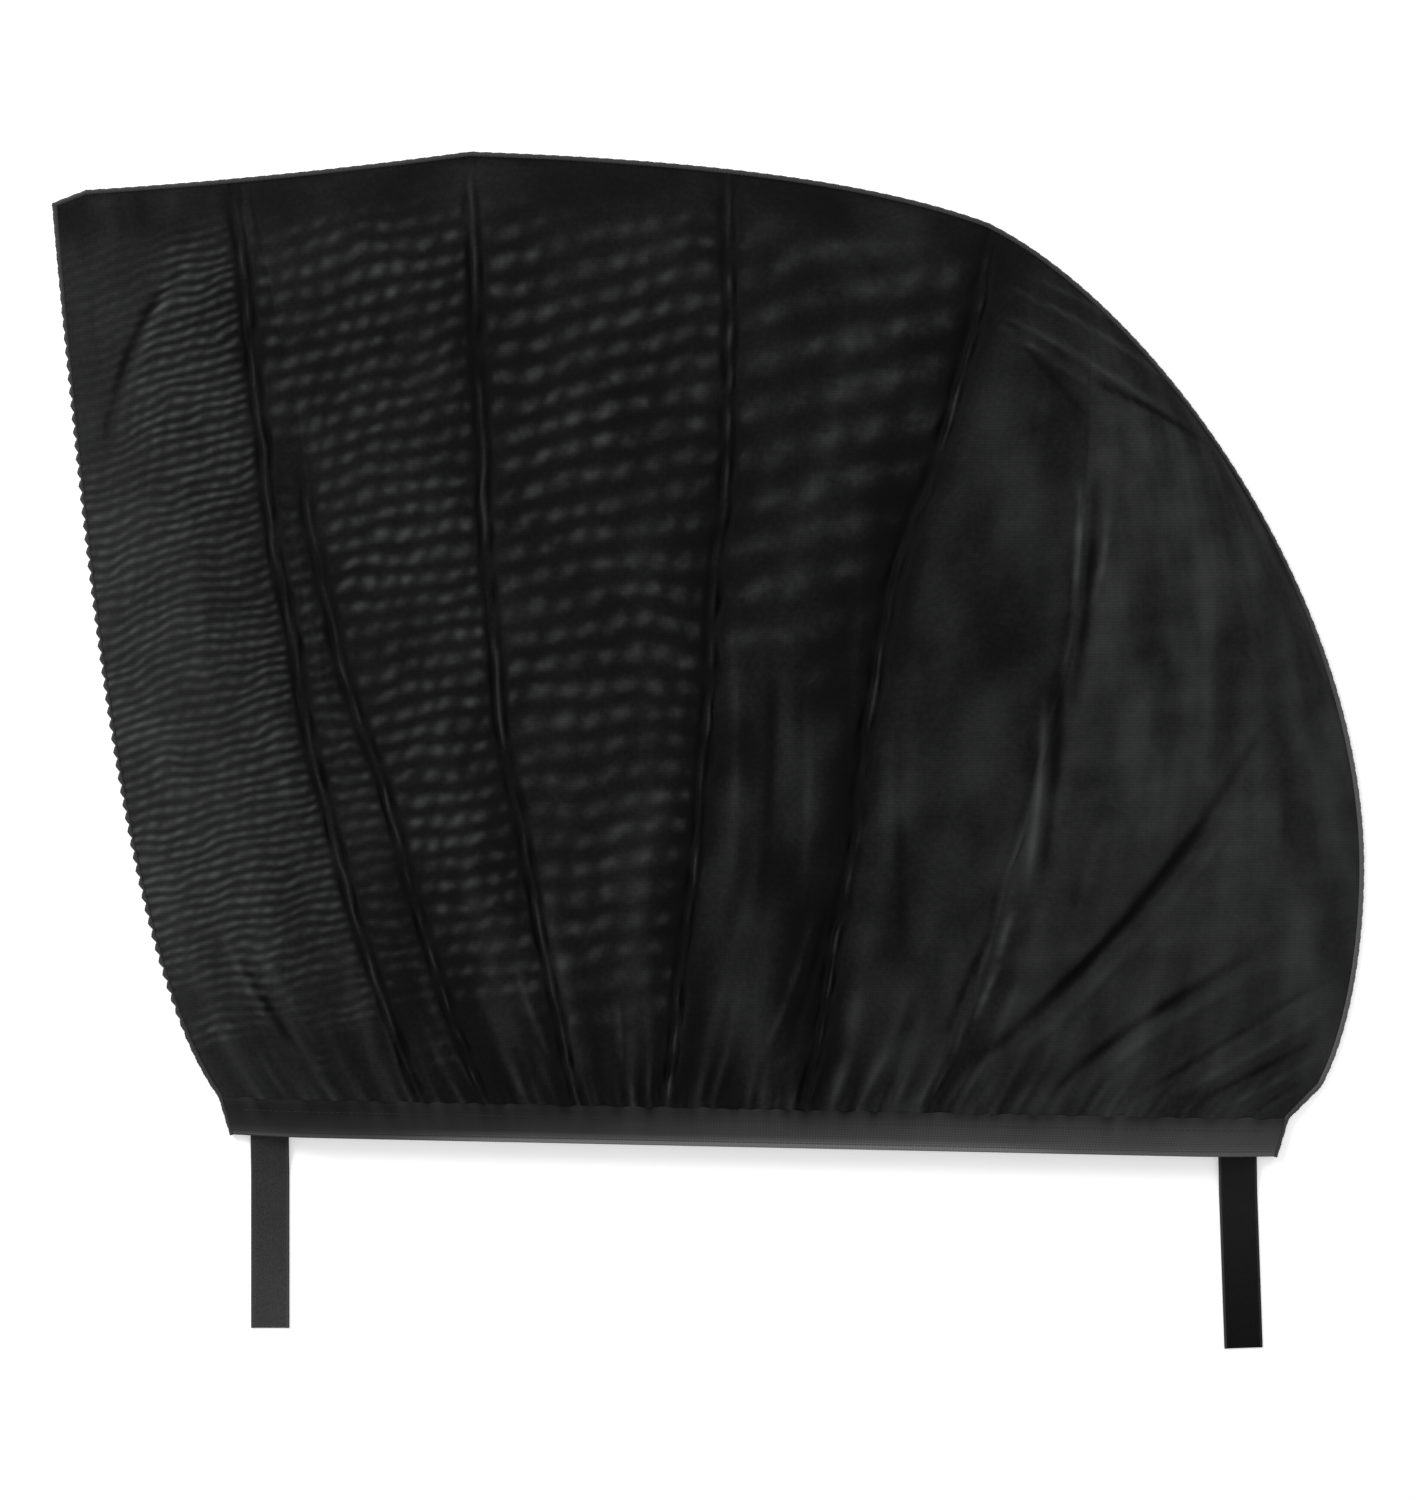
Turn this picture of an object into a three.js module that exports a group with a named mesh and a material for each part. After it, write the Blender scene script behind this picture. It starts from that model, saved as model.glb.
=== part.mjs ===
import * as THREE from 'three';

// Sunshade for a car's side window: a sleeve of two mesh panels, open along its elastic hem, that
// slips over the window frame of a door. It lies on its back panel with the mouth towards -Y, and
// the gathered front panel stands clear of the back one, so that the pocket between them is open.
// Millimetres, +Z up. The outline is drawn from the lower left end of the hem.

// Hem
const HEM_LENGTH = 546;
const HEM_HEIGHT = 20;
const HEM_DROP = 11.5; // the right end lies this much lower than the left one
const HEM_END_SLANT = 6; // each end leans out by this much over the hem's height
const BAND_THICKNESS = 1;
const BAND_MARGIN = 2; // the panels end this far inside the lower edge of their bands

// Outline above the hem
const CORNER_FLARE = 93; // the top left corner stands out past the hem by this much
const CORNER_RISE = 486;
const CORNER_CUT_ACROSS = 18;
const CORNER_CUT_RISE = 7;
const PEAK_ACROSS = 125;
const PEAK_RISE = 513;
const SHOULDER_ACROSS = 395;
const SHOULDER_RISE = 476;
const BELLY_FLARE = 45.5; // the right side's widest point stands out past the hem by this much
const BELLY_RISE = 140;
const TUCK_FLARE = 23;
const TUCK_RISE = 25;

// Cloth and seam
const FABRIC_THICKNESS = 0.6;
const SEAM_WIDTH = 3.2;
const SEAM_HEIGHT = 2.4;
const CLEARANCE = 0.3; // between pieces that are sewn face to face
const POCKET_TOP = 9.4; // underside of the front panel over the open pocket
const PUFF_RUN = 46; // the front panel climbs to that height over this distance from its seam
const HEM_RAMP = 26; // the back panel comes down from its band to the ground over this distance

// Folds and gathers
const FOLD_HEIGHT = 5.2;
const FOLD_FULL_WIDTH = 70; // folds narrower than this stand lower
const FOLD_START = 110; // a fold has its full height this far above the hem
const PLEAT_HEIGHT = 3; // the pinched ridge along each crease
const PLEAT_WIDTH = 2.5;
const GATHER_HEIGHT = 3;
const GATHER_CREST = 13; // a gather is highest this far above the hem
const BACK_GATHER_HEIGHT = 0.8;

// Fastening straps
const STRAP_WIDTH = 20;
const STRAP_THICKNESS = 1.2;
const STRAP_LENGTH = 100; // below the hem
const STRAP_SEWN_LENGTH = 16; // on the inner face of the back hem
const STRAP_INSET = 11; // from each end of the hem
const STRAP_DROP_RUN = 22; // each strap comes down to the ground over this distance
const RIGHT_STRAP_LEAN = 2; // degrees outwards

// Fineness of the mesh surfaces
const SEAM_STEP = 13; // along the curved stretches of the outline
const CORNER_STEP = 0.0003; // share of the outline's length looked at on each side of a corner
const PANEL_ROWS = 19;
const ROW_CROWDING = 1.45; // more than 1 crowds the rows towards the hem
const GATHERED_ROWS = 5; // rows above the hem with twice the columns, for the gathers
const COLUMNS_PER_GATHER = 4;
const COLUMN_CROWDING = 0.6; // crowds the columns of a fold towards its creases
const BACK_COLUMNS = 30;
const BACK_ROWS = 11;
const MARGIN_STEPS = 2;
const STRAP_STEPS = 8;

// A crease runs from the hem up the panel. Its place across the panel is a share of the width,
// at the hem, half way up and at the top; columns is the number between it and the next crease.
const CREASES = [
  { hem: 0, middle: 0, top: 0, columns: 10 },
  { hem: 0.19, middle: 0.145, top: 0.138, columns: 3 },
  { hem: 0.25, middle: 0.182, top: 0.16, columns: 7 },
  { hem: 0.335, middle: 0.296, top: 0.315, columns: 8 },
  { hem: 0.42, middle: 0.465, top: 0.51, columns: 10 },
  { hem: 0.545, middle: 0.576, top: 0.714, columns: 7 },
  { hem: 0.66, middle: 0.713, top: 0.8, columns: 17 },
  { hem: 1, middle: 1, top: 1, columns: 0 },
];

// These two slant from the hem into the right side before they reach the top
const SLANTED_CREASES = [
  { hem: 0.72, lean: 0.4 },
  { hem: 0.79, lean: 0.84 },
];

// Outline

// A stretch leaves one point and arrives at the next in the given directions, in degrees, and
// holds each direction over a share of the distance between them
function addStretch(path, to, leave, leaveShare, arrive, arriveShare) {
  const from = path.currentPoint.clone();
  const distance = from.distanceTo(to);
  const first = towards(leave).multiplyScalar(distance * leaveShare).add(from);
  const second = towards(arrive).multiplyScalar(-distance * arriveShare).add(to);
  path.bezierCurveTo(first.x, first.y, second.x, second.y, to.x, to.y);
}

function towards(degrees) {
  const angle = THREE.MathUtils.degToRad(degrees);
  return new THREE.Vector2(Math.cos(angle), Math.sin(angle));
}

// Clockwise from the lower left end of the hem to its lower right end
function drawOutline() {
  const corner = new THREE.Vector2(-CORNER_FLARE, CORNER_RISE);
  const cornerCut = new THREE.Vector2(CORNER_CUT_ACROSS - CORNER_FLARE, CORNER_RISE + CORNER_CUT_RISE);
  const peak = new THREE.Vector2(PEAK_ACROSS, PEAK_RISE);
  const shoulder = new THREE.Vector2(SHOULDER_ACROSS, SHOULDER_RISE);
  const belly = new THREE.Vector2(HEM_LENGTH + BELLY_FLARE, BELLY_RISE);
  const tuck = new THREE.Vector2(HEM_LENGTH + TUCK_FLARE, TUCK_RISE);
  const path = new THREE.Path();
  path.moveTo(0, 0);
  path.lineTo(-HEM_END_SLANT, HEM_HEIGHT);
  addStretch(path, corner, 127, 0.17, 95, 0.43);
  path.lineTo(cornerCut.x, cornerCut.y);
  addStretch(path, peak, 3.5, 0.33, 7.8, 0.32);
  addStretch(path, shoulder, -2, 0.38, -20, 0.26);
  addStretch(path, belly, -26, 0.25, -90, 0.36);
  addStretch(path, tuck, -90, 0.38, -119, 0.25);
  path.lineTo(HEM_LENGTH + HEM_END_SLANT, HEM_HEIGHT - HEM_DROP);
  path.lineTo(HEM_LENGTH, -HEM_DROP);
  return path;
}

const outline = drawOutline();
const outlineJoints = outline.getCurveLengths().map((length) => length / outline.getLength());
const HEM_LEFT = outlineJoints[0];
const TOP_LEFT = outlineJoints[1];
const TOP_RIGHT = (outlineJoints[4] + outlineJoints[5]) / 2; // half way down the right arc
const HEM_RIGHT = outlineJoints[7];

// The point at a share of the outline's length, moved in square to it, or mitred at a corner
function outlinePoint(share, inset) {
  const before = outline.getTangent(Math.max(0, share - CORNER_STEP));
  const after = outline.getTangent(Math.min(1, share + CORNER_STEP));
  const direction = before.clone().add(after).normalize();
  const moved = inset / direction.dot(before);
  const point = outline.getPoint(share);
  return new THREE.Vector2(point.x + direction.y * moved, point.y - direction.x * moved);
}

// The panels and bands end just inside the seam that joins them
function panelEdge(share) {
  return outlinePoint(share, SEAM_WIDTH + CLEARANCE);
}

// Places on the panels: across is 0 at the left side and 1 at the right side, up is 0 at the top of
// the hem and 1 at the top edge

function hemPoint(across, height) {
  const left = panelEdge(HEM_LEFT * (height / HEM_HEIGHT));
  const right = panelEdge(1 - (1 - HEM_RIGHT) * (height / HEM_HEIGHT));
  return left.lerp(right, across);
}

function panelPoint(across, up) {
  const left = panelEdge(THREE.MathUtils.lerp(HEM_LEFT, TOP_LEFT, up));
  const right = panelEdge(THREE.MathUtils.lerp(HEM_RIGHT, TOP_RIGHT, up));
  const top = panelEdge(THREE.MathUtils.lerp(TOP_LEFT, TOP_RIGHT, across));
  const sides = left.lerp(right, across);
  const ends = hemPoint(across, HEM_HEIGHT).lerp(top, up);
  const lower = panelEdge(HEM_LEFT).lerp(panelEdge(HEM_RIGHT), across);
  const upper = panelEdge(TOP_LEFT).lerp(panelEdge(TOP_RIGHT), across);
  return sides.add(ends).sub(lower.lerp(upper, up));
}

function creasePlace(crease, up) {
  const low = THREE.MathUtils.lerp(crease.hem, crease.middle, up * 2);
  const high = THREE.MathUtils.lerp(crease.middle, crease.top, up * 2 - 1);
  const bend = THREE.MathUtils.smoothstep(up, 0.25, 0.75);
  return THREE.MathUtils.lerp(low, high, bend);
}

// All creases that cross the panel at this height, from left to right
function creasePlaces(up) {
  const places = CREASES.map((crease) => creasePlace(crease, up));
  for (const { hem, lean } of SLANTED_CREASES) {
    if (hem + lean * up < 1) {
      places.push(hem + lean * up);
    }
  }
  return places.sort((a, b) => a - b);
}

// Heights of the cloth

// Rises from 0 at a seam to 1 inside the panel
function riseFrom(distance, run) {
  return Math.sin((Math.PI / 2) * THREE.MathUtils.clamp(distance / run, 0, 1));
}

function puff(across, up) {
  const fromLeft = riseFrom(across * HEM_LENGTH, PUFF_RUN);
  const fromRight = riseFrom((1 - across) * HEM_LENGTH, PUFF_RUN);
  const fromTop = riseFrom((1 - up) * CORNER_RISE, PUFF_RUN);
  return fromLeft * fromRight * fromTop;
}

// Swells from 0 at the hem to 1 a little above it and dies away further up
function gatherStrength(up) {
  const height = (up * CORNER_RISE) / GATHER_CREST;
  return height * Math.exp(1 - height);
}

function gatherWave(gathers) {
  const uneven = 0.75 + 0.25 * Math.sin(gathers * 1.7);
  return uneven * (0.5 - 0.5 * Math.cos(gathers * 2 * Math.PI));
}

// A fold swells between two creases, and each crease is pinched into a narrow ridge
function foldHeight(across, up) {
  const places = creasePlaces(up);
  const next = Math.max(1, places.findIndex((place) => place >= across));
  const width = (places[next] - places[next - 1]) * HEM_LENGTH;
  const share = (across - places[next - 1]) / (places[next] - places[next - 1]);
  const swell = Math.pow(Math.sin(Math.PI * THREE.MathUtils.clamp(share, 0, 1)), 0.6);
  const toCrease = Math.min(share, 1 - share) * width;
  const pleat = PLEAT_HEIGHT * Math.exp(-Math.pow(toCrease / PLEAT_WIDTH, 2));
  const start = THREE.MathUtils.smoothstep(up * CORNER_RISE, 0, FOLD_START);
  return start * (FOLD_HEIGHT * swell * Math.min(1, width / FOLD_FULL_WIDTH) + pleat);
}

function backUnderside(across, up, gathers) {
  const lift = 1 - THREE.MathUtils.smoothstep(up * CORNER_RISE, 0, HEM_RAMP);
  const waves = BACK_GATHER_HEIGHT * gatherStrength(up) * gatherWave(gathers) * puff(across, up);
  return lift * (BAND_THICKNESS + CLEARANCE) + waves;
}

function frontUnderside(across, up, gathers) {
  const closed = backUnderside(across, up, 0) + FABRIC_THICKNESS + CLEARANCE;
  const waves = GATHER_HEIGHT * gatherStrength(up) * gatherWave(gathers);
  const open = POCKET_TOP + foldHeight(across, up) + waves;
  return THREE.MathUtils.lerp(closed, open, puff(across, up));
}

// Solids

function geometryFrom(points, triangles) {
  const geometry = new THREE.BufferGeometry().setFromPoints(points);
  geometry.setIndex(triangles);
  geometry.computeVertexNormals();
  return geometry;
}

// Fills the strip between two rows of points, which may hold different numbers of them
function zipRows(lower, upper, triangles) {
  let i = 0;
  let j = 0;
  while (i < lower.length - 1 || j < upper.length - 1) {
    if ((i + 1) / (lower.length - 1) <= (j + 1) / (upper.length - 1)) {
      triangles.push(lower[i], lower[i + 1], upper[j]);
      i += 1;
    } else {
      triangles.push(lower[i], upper[j + 1], upper[j]);
      j += 1;
    }
  }
}

// A sheet of even thickness over rows of points, which give its underside
function sheet(rows, thickness) {
  const points = rows.flat();
  const count = points.length;
  let start = 0;
  const indices = rows.map((row) => {
    start += row.length;
    return row.map((_, i) => start - row.length + i);
  });
  const under = [];
  for (let i = 1; i < indices.length; i += 1) {
    zipRows(indices[i - 1], indices[i], under);
  }
  const triangles = [];
  for (let i = 0; i < under.length; i += 3) {
    triangles.push(under[i] + count, under[i + 1] + count, under[i + 2] + count);
    triangles.push(under[i + 2], under[i + 1], under[i]);
  }
  const rightSide = indices.slice(1, -1).map((row) => row[row.length - 1]);
  const leftSide = indices.slice(1, -1).map((row) => row[0]);
  const last = [...indices[indices.length - 1]].reverse();
  const rim = [...indices[0], ...rightSide, ...last, ...leftSide.reverse()];
  rim.forEach((a, i) => {
    const b = rim[(i + 1) % rim.length];
    triangles.push(a, b, b + count, a, b + count, a + count);
  });
  const upper = points.map((point) => new THREE.Vector3(point.x, point.y, point.z + thickness));
  return geometryFrom([...points, ...upper], triangles);
}

// A solid through rings of points, closed at both ends
function sweep(rings) {
  const sides = rings[0].length;
  const triangles = [];
  for (let ring = 1; ring < rings.length; ring += 1) {
    for (let side = 0; side < sides; side += 1) {
      const a = (ring - 1) * sides + side;
      const b = (ring - 1) * sides + ((side + 1) % sides);
      triangles.push(a, b, b + sides, a, b + sides, a + sides);
    }
  }
  const end = (rings.length - 1) * sides;
  for (let side = 1; side < sides - 1; side += 1) {
    triangles.push(0, side + 1, side);
    triangles.push(end, end + side, end + side + 1);
  }
  return geometryFrom(rings.flat(), triangles);
}

function inSpace(point, height) {
  return new THREE.Vector3(point.x, point.y, height);
}

// Columns between the creases, each with its gather count along the hem
function foldColumns(density) {
  const columns = [];
  let passed = 0;
  CREASES.slice(0, -1).forEach((crease, bay) => {
    const count = crease.columns * density;
    for (let i = 0; i < count; i += 1) {
      const even = i / count;
      const share = even - (COLUMN_CROWDING * Math.sin(2 * Math.PI * even)) / (2 * Math.PI);
      columns.push({ bay, share, gathers: (passed + (2 * i) / density) / COLUMNS_PER_GATHER });
    }
    passed += crease.columns * 2;
  });
  columns.push({ bay: CREASES.length - 2, share: 1, gathers: passed / COLUMNS_PER_GATHER });
  return columns;
}

function frontRow(columns, up, point) {
  return columns.map(({ bay, share, gathers }) => {
    const from = creasePlace(CREASES[bay], up);
    const across = THREE.MathUtils.lerp(from, creasePlace(CREASES[bay + 1], up), share);
    return inSpace(point(across), frontUnderside(across, up, gathers));
  });
}

function backRow(up, point) {
  const row = [];
  for (let i = 0; i <= BACK_COLUMNS; i += 1) {
    const across = i / BACK_COLUMNS;
    row.push(inSpace(point(across), backUnderside(across, up, i / 2)));
  }
  return row;
}

// Heights of the rows of a panel's margin, which lies under its band
function marginHeights() {
  const heights = [];
  for (let i = 0; i < MARGIN_STEPS; i += 1) {
    heights.push(THREE.MathUtils.lerp(BAND_MARGIN, HEM_HEIGHT, i / MARGIN_STEPS));
  }
  return heights;
}

// The front mesh panel, gathered onto its band, with folds that fan out from the hem
function frontPanel() {
  const fine = foldColumns(2);
  const coarse = foldColumns(1);
  const rows = marginHeights().map((height) => frontRow(fine, 0, (across) => hemPoint(across, height)));
  for (let i = 0; i <= PANEL_ROWS; i += 1) {
    const up = Math.pow(i / PANEL_ROWS, ROW_CROWDING);
    const columns = i <= GATHERED_ROWS ? fine : coarse;
    rows.push(frontRow(columns, up, (across) => panelPoint(across, up)));
  }
  return sheet(rows, FABRIC_THICKNESS);
}

// The back mesh panel, flat on the ground apart from shallow gathers
function backPanel() {
  const rows = marginHeights().map((height) => backRow(0, (across) => hemPoint(across, height)));
  for (let i = 0; i <= BACK_ROWS; i += 1) {
    const up = Math.pow(i / BACK_ROWS, ROW_CROWDING);
    rows.push(backRow(up, (across) => panelPoint(across, up)));
  }
  return sheet(rows, FABRIC_THICKNESS);
}

// The overlocked seam round both panels. It stands higher at the hem, where it takes in the bands.
function edgeSeam() {
  const hemHeight = 2 * (BAND_THICKNESS + FABRIC_THICKNESS) + 3 * CLEARANCE;
  const sides = 8;
  const shares = [0];
  outlineJoints.forEach((joint, i) => {
    const from = shares[shares.length - 1];
    const stretch = outline.curves[i];
    const steps = stretch instanceof THREE.LineCurve ? 1 : Math.ceil(stretch.getLength() / SEAM_STEP);
    for (let step = 1; step <= steps; step += 1) {
      shares.push(THREE.MathUtils.lerp(from, joint, step / steps));
    }
  });
  const rings = shares.map((share) => {
    const along = Math.min(share, 1 - share) * outline.getLength();
    const nearHem = 1 - THREE.MathUtils.smoothstep(along, HEM_HEIGHT, HEM_HEIGHT + HEM_RAMP);
    const height = THREE.MathUtils.lerp(SEAM_HEIGHT, hemHeight, nearHem);
    const ring = [];
    for (let side = 0; side < sides; side += 1) {
      const angle = ((side + 0.5) * 2 * Math.PI) / sides;
      const half = Math.cos(Math.PI / sides);
      const inset = (SEAM_WIDTH / 2) * (1 - Math.cos(angle) / half);
      ring.push(inSpace(outlinePoint(share, inset), (height / 2) * (1 + Math.sin(angle) / half)));
    }
    return ring;
  });
  return sweep(rings);
}

// An elastic band lies on the outer face of a panel's margin
function band(underside, columns) {
  const rows = [0, HEM_HEIGHT].map((height) =>
    columns.map((across) => inSpace(hemPoint(across, height), underside(across))));
  return sheet(rows, BAND_THICKNESS);
}

function frontBand() {
  const columns = foldColumns(1).map(({ bay, share }) =>
    THREE.MathUtils.lerp(CREASES[bay].hem, CREASES[bay + 1].hem, share));
  return band((across) => frontUnderside(across, 0, 0) + FABRIC_THICKNESS + CLEARANCE, columns);
}

function backBand() {
  return band(() => 0, [0, 1]);
}

// A strap is sewn to the inner face of the back hem, comes out of the mouth and lies on the ground
function strap(centre, lean) {
  const sewnHeight = BAND_THICKNESS + FABRIC_THICKNESS + 2 * CLEARANCE;
  const slope = HEM_DROP / HEM_LENGTH;
  const direction = towards(lean - 90);
  const sideways = new THREE.Vector2(-direction.y, direction.x);
  const start = new THREE.Vector2(centre, -slope * centre);
  const stations = [[-STRAP_SEWN_LENGTH, sewnHeight]];
  for (let i = 0; i <= STRAP_STEPS; i += 1) {
    const along = (STRAP_DROP_RUN * i) / STRAP_STEPS;
    stations.push([along, sewnHeight * (1 - THREE.MathUtils.smoothstep(along, 0, STRAP_DROP_RUN))]);
  }
  stations.push([STRAP_LENGTH, 0]);
  const rows = stations.map(([along, height]) => [0.5, -0.5].map((side) => {
    const point = direction.clone().multiplyScalar(along).add(start);
    return inSpace(point.addScaledVector(sideways, side * STRAP_WIDTH), height);
  }));
  return sheet(rows, STRAP_THICKNESS);
}

function leftStrap() {
  return strap(STRAP_INSET + STRAP_WIDTH / 2, 0);
}

function rightStrap() {
  return strap(HEM_LENGTH - STRAP_INSET - STRAP_WIDTH / 2, RIGHT_STRAP_LEAN);
}

// Assembly

function cloth(color, roughness) {
  return new THREE.MeshStandardMaterial({ color, roughness, metalness: 0 });
}

const meshFabric = cloth(0x1d1e20, 0.85);
const seamThread = cloth(0x161718, 0.8);
const elastic = cloth(0x2b2c2e, 0.7);
const loopTape = cloth(0x3a3b3d, 0.95);
const hookTape = cloth(0x0f0f10, 0.6);

const pieces = [
  ['front_panel', frontPanel(), meshFabric],
  ['back_panel', backPanel(), meshFabric],
  ['edge_seam', edgeSeam(), seamThread],
  ['front_hem_elastic', frontBand(), elastic],
  ['back_hem_elastic', backBand(), elastic],
  ['left_strap', leftStrap(), loopTape],
  ['right_strap', rightStrap(), hookTape],
];

const sleeve = new THREE.Group();
for (const [name, geometry, material] of pieces) {
  const mesh = new THREE.Mesh(geometry, material);
  mesh.name = name;
  sleeve.add(mesh);
}

// The origin is at the middle of the bounding box, on the ground
const bounds = new THREE.Box3().setFromObject(sleeve);
const middle = bounds.getCenter(new THREE.Vector3());
sleeve.position.set(-middle.x, -middle.y, -bounds.min.z);

const sunshade = new THREE.Group();
sunshade.add(sleeve);

export default sunshade;
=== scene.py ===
import math

import bpy
import numpy as np
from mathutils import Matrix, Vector


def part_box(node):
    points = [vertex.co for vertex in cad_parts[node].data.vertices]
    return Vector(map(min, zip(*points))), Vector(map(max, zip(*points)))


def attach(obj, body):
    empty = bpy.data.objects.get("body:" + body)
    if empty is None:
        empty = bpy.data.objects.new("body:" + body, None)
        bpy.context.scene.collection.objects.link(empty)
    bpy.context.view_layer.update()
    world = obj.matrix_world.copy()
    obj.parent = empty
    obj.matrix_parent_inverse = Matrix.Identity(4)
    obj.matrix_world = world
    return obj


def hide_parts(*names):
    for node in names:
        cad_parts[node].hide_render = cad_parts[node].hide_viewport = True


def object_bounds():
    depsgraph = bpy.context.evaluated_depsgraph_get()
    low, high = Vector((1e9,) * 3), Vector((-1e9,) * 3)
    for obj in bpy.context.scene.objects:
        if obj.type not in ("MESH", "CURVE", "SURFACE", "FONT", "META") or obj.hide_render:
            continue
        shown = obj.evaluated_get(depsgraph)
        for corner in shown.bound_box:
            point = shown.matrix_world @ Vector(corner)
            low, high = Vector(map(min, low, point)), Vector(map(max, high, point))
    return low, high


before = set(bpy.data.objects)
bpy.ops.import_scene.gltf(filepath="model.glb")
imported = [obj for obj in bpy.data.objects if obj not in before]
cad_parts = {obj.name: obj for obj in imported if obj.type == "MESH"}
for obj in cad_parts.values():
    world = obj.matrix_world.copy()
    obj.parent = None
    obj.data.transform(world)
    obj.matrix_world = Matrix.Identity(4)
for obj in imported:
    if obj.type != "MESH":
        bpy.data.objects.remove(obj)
cad_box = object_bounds()

# Lengths are in metres. The outline is drawn from the lower left end of the hem, as the cloth is cut,
# and ORIGIN is where that end lies in the frame.
MM = 0.001
SEAM_LOW, SEAM_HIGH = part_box("edge_seam")
CORNER_FLARE = 93 * MM
HEM_DROP = 11.5 * MM
PEAK_RISE = 513 * MM
ORIGIN = np.array([SEAM_LOW.x + CORNER_FLARE, SEAM_HIGH.y - PEAK_RISE])

HEM_LENGTH = 546 * MM
HEM_HEIGHT = 20 * MM
HEM_END_SLANT = 6 * MM
CORNER_RISE = 486 * MM
SEAM_WIDTH = 3.2 * MM
SEAM_HEIGHT = 2.4 * MM
SEAM_HEM_HEIGHT = SEAM_HIGH.z
CLEARANCE = 0.3 * MM
FABRIC = 0.6 * MM
BAND = 1.0 * MM
POCKET_TOP = 9.4 * MM
PUFF_RUN = 46 * MM
HEM_RAMP = 26 * MM

SEED = 7


# Outline


def towards(degrees):
    angle = math.radians(degrees)
    return np.array([math.cos(angle), math.sin(angle)])


def line(start, end, count):
    share = np.linspace(0, 1, count)[:, None]
    return start + (end - start) * share


def stretch(start, end, leave, leave_share, arrive, arrive_share, count=120):
    """A smooth stretch that leaves start and arrives at end in the given directions, in degrees."""
    start, end = np.asarray(start, float), np.asarray(end, float)
    distance = np.linalg.norm(end - start)
    first = start + towards(leave) * distance * leave_share
    second = end - towards(arrive) * distance * arrive_share
    t = np.linspace(0, 1, count)[:, None]
    rest = 1 - t
    return rest**3 * start + 3 * rest**2 * t * first + 3 * rest * t**2 * second + t**3 * end


class Outline:
    """The sewn outline from the lower left end of the hem clockwise to its lower right end."""

    def __init__(self):
        left_top = np.array([-HEM_END_SLANT, HEM_HEIGHT])
        corner = np.array([-CORNER_FLARE, CORNER_RISE])
        cut = corner + np.array([18, 7]) * MM
        peak = np.array([125 * MM, PEAK_RISE])
        shoulder = np.array([395, 476]) * MM
        belly = np.array([HEM_LENGTH + 45.5 * MM, 140 * MM])
        tuck = np.array([HEM_LENGTH + 23 * MM, 25 * MM])
        right_top = np.array([HEM_LENGTH + HEM_END_SLANT, HEM_HEIGHT - HEM_DROP])
        right_low = np.array([HEM_LENGTH, -HEM_DROP])
        runs = [
            line(np.zeros(2), left_top, 8),
            stretch(left_top, corner, 127, 0.17, 95, 0.43),
            line(corner, cut, 8),
            stretch(cut, peak, 3.5, 0.33, 7.8, 0.32),
            stretch(peak, shoulder, -2, 0.38, -20, 0.26),
            stretch(shoulder, belly, -26, 0.25, -90, 0.36),
            stretch(belly, tuck, -90, 0.38, -119, 0.25),
            line(tuck, right_top, 8),
            line(right_top, right_low, 8),
        ]
        self.points = np.vstack([runs[0]] + [run[1:] for run in runs[1:]])
        steps = np.linalg.norm(np.diff(self.points, axis=0), axis=1)
        self.along = np.concatenate([[0], np.cumsum(steps)])
        self.length = self.along[-1]
        ends = np.cumsum([len(runs[0])] + [len(run) - 1 for run in runs[1:]]) - 1
        joints = self.along[ends] / self.length
        self.hem_left, self.top_left, self.hem_right = joints[[0, 1, 7]]
        self.top_right = (joints[4] + joints[5]) / 2

    def at(self, share, inset=0.0):
        """Points at shares of the length, moved in square to the outline."""
        share = np.clip(np.asarray(share, float), 0, 1)
        point = self._point(share)
        step = 0.0012
        direction = self._point(np.minimum(1, share + step)) - self._point(np.maximum(0, share - step))
        direction /= np.linalg.norm(direction, axis=-1, keepdims=True)
        inward = np.stack([direction[..., 1], -direction[..., 0]], axis=-1)
        return point + inward * np.asarray(inset)[..., None]

    def _point(self, share):
        along = share * self.length
        x = np.interp(along, self.along, self.points[:, 0])
        y = np.interp(along, self.along, self.points[:, 1])
        return np.stack([x, y], axis=-1) + ORIGIN


OUTLINE = Outline()
EDGE = SEAM_WIDTH * 0.72  # the cloth runs in under the seam's threads


def lerp(a, b, share):
    return a + (b - a) * share


def smooth(value, low, high):
    share = np.clip((value - low) / (high - low), 0, 1)
    return share * share * (3 - 2 * share)


def hem_point(across, height):
    """A place on the hem: across from 0 to 1, height above its lower edge."""
    level = height / HEM_HEIGHT
    left = OUTLINE.at(OUTLINE.hem_left * level, EDGE)
    right = OUTLINE.at(1 - (1 - OUTLINE.hem_right) * level, EDGE)
    return lerp(left, right, across[..., None])


def panel_point(across, up):
    """A place on a panel: across from 0 to 1, up from 0 at the top of the hem to 1 at the top edge."""
    left = OUTLINE.at(lerp(OUTLINE.hem_left, OUTLINE.top_left, up), EDGE)
    right = OUTLINE.at(lerp(OUTLINE.hem_right, OUTLINE.top_right, up), EDGE)
    top = OUTLINE.at(lerp(OUTLINE.top_left, OUTLINE.top_right, across), EDGE)
    across, up = across[..., None], up[..., None]
    corners = [
        OUTLINE.at(share, EDGE)
        for share in (OUTLINE.hem_left, OUTLINE.hem_right, OUTLINE.top_left, OUTLINE.top_right)
    ]
    lower = lerp(corners[0], corners[1], across)
    upper = lerp(corners[2], corners[3], across)
    return lerp(left, right, across) + lerp(lower, top, up) - lerp(lower, upper, up)


# Creases

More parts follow.
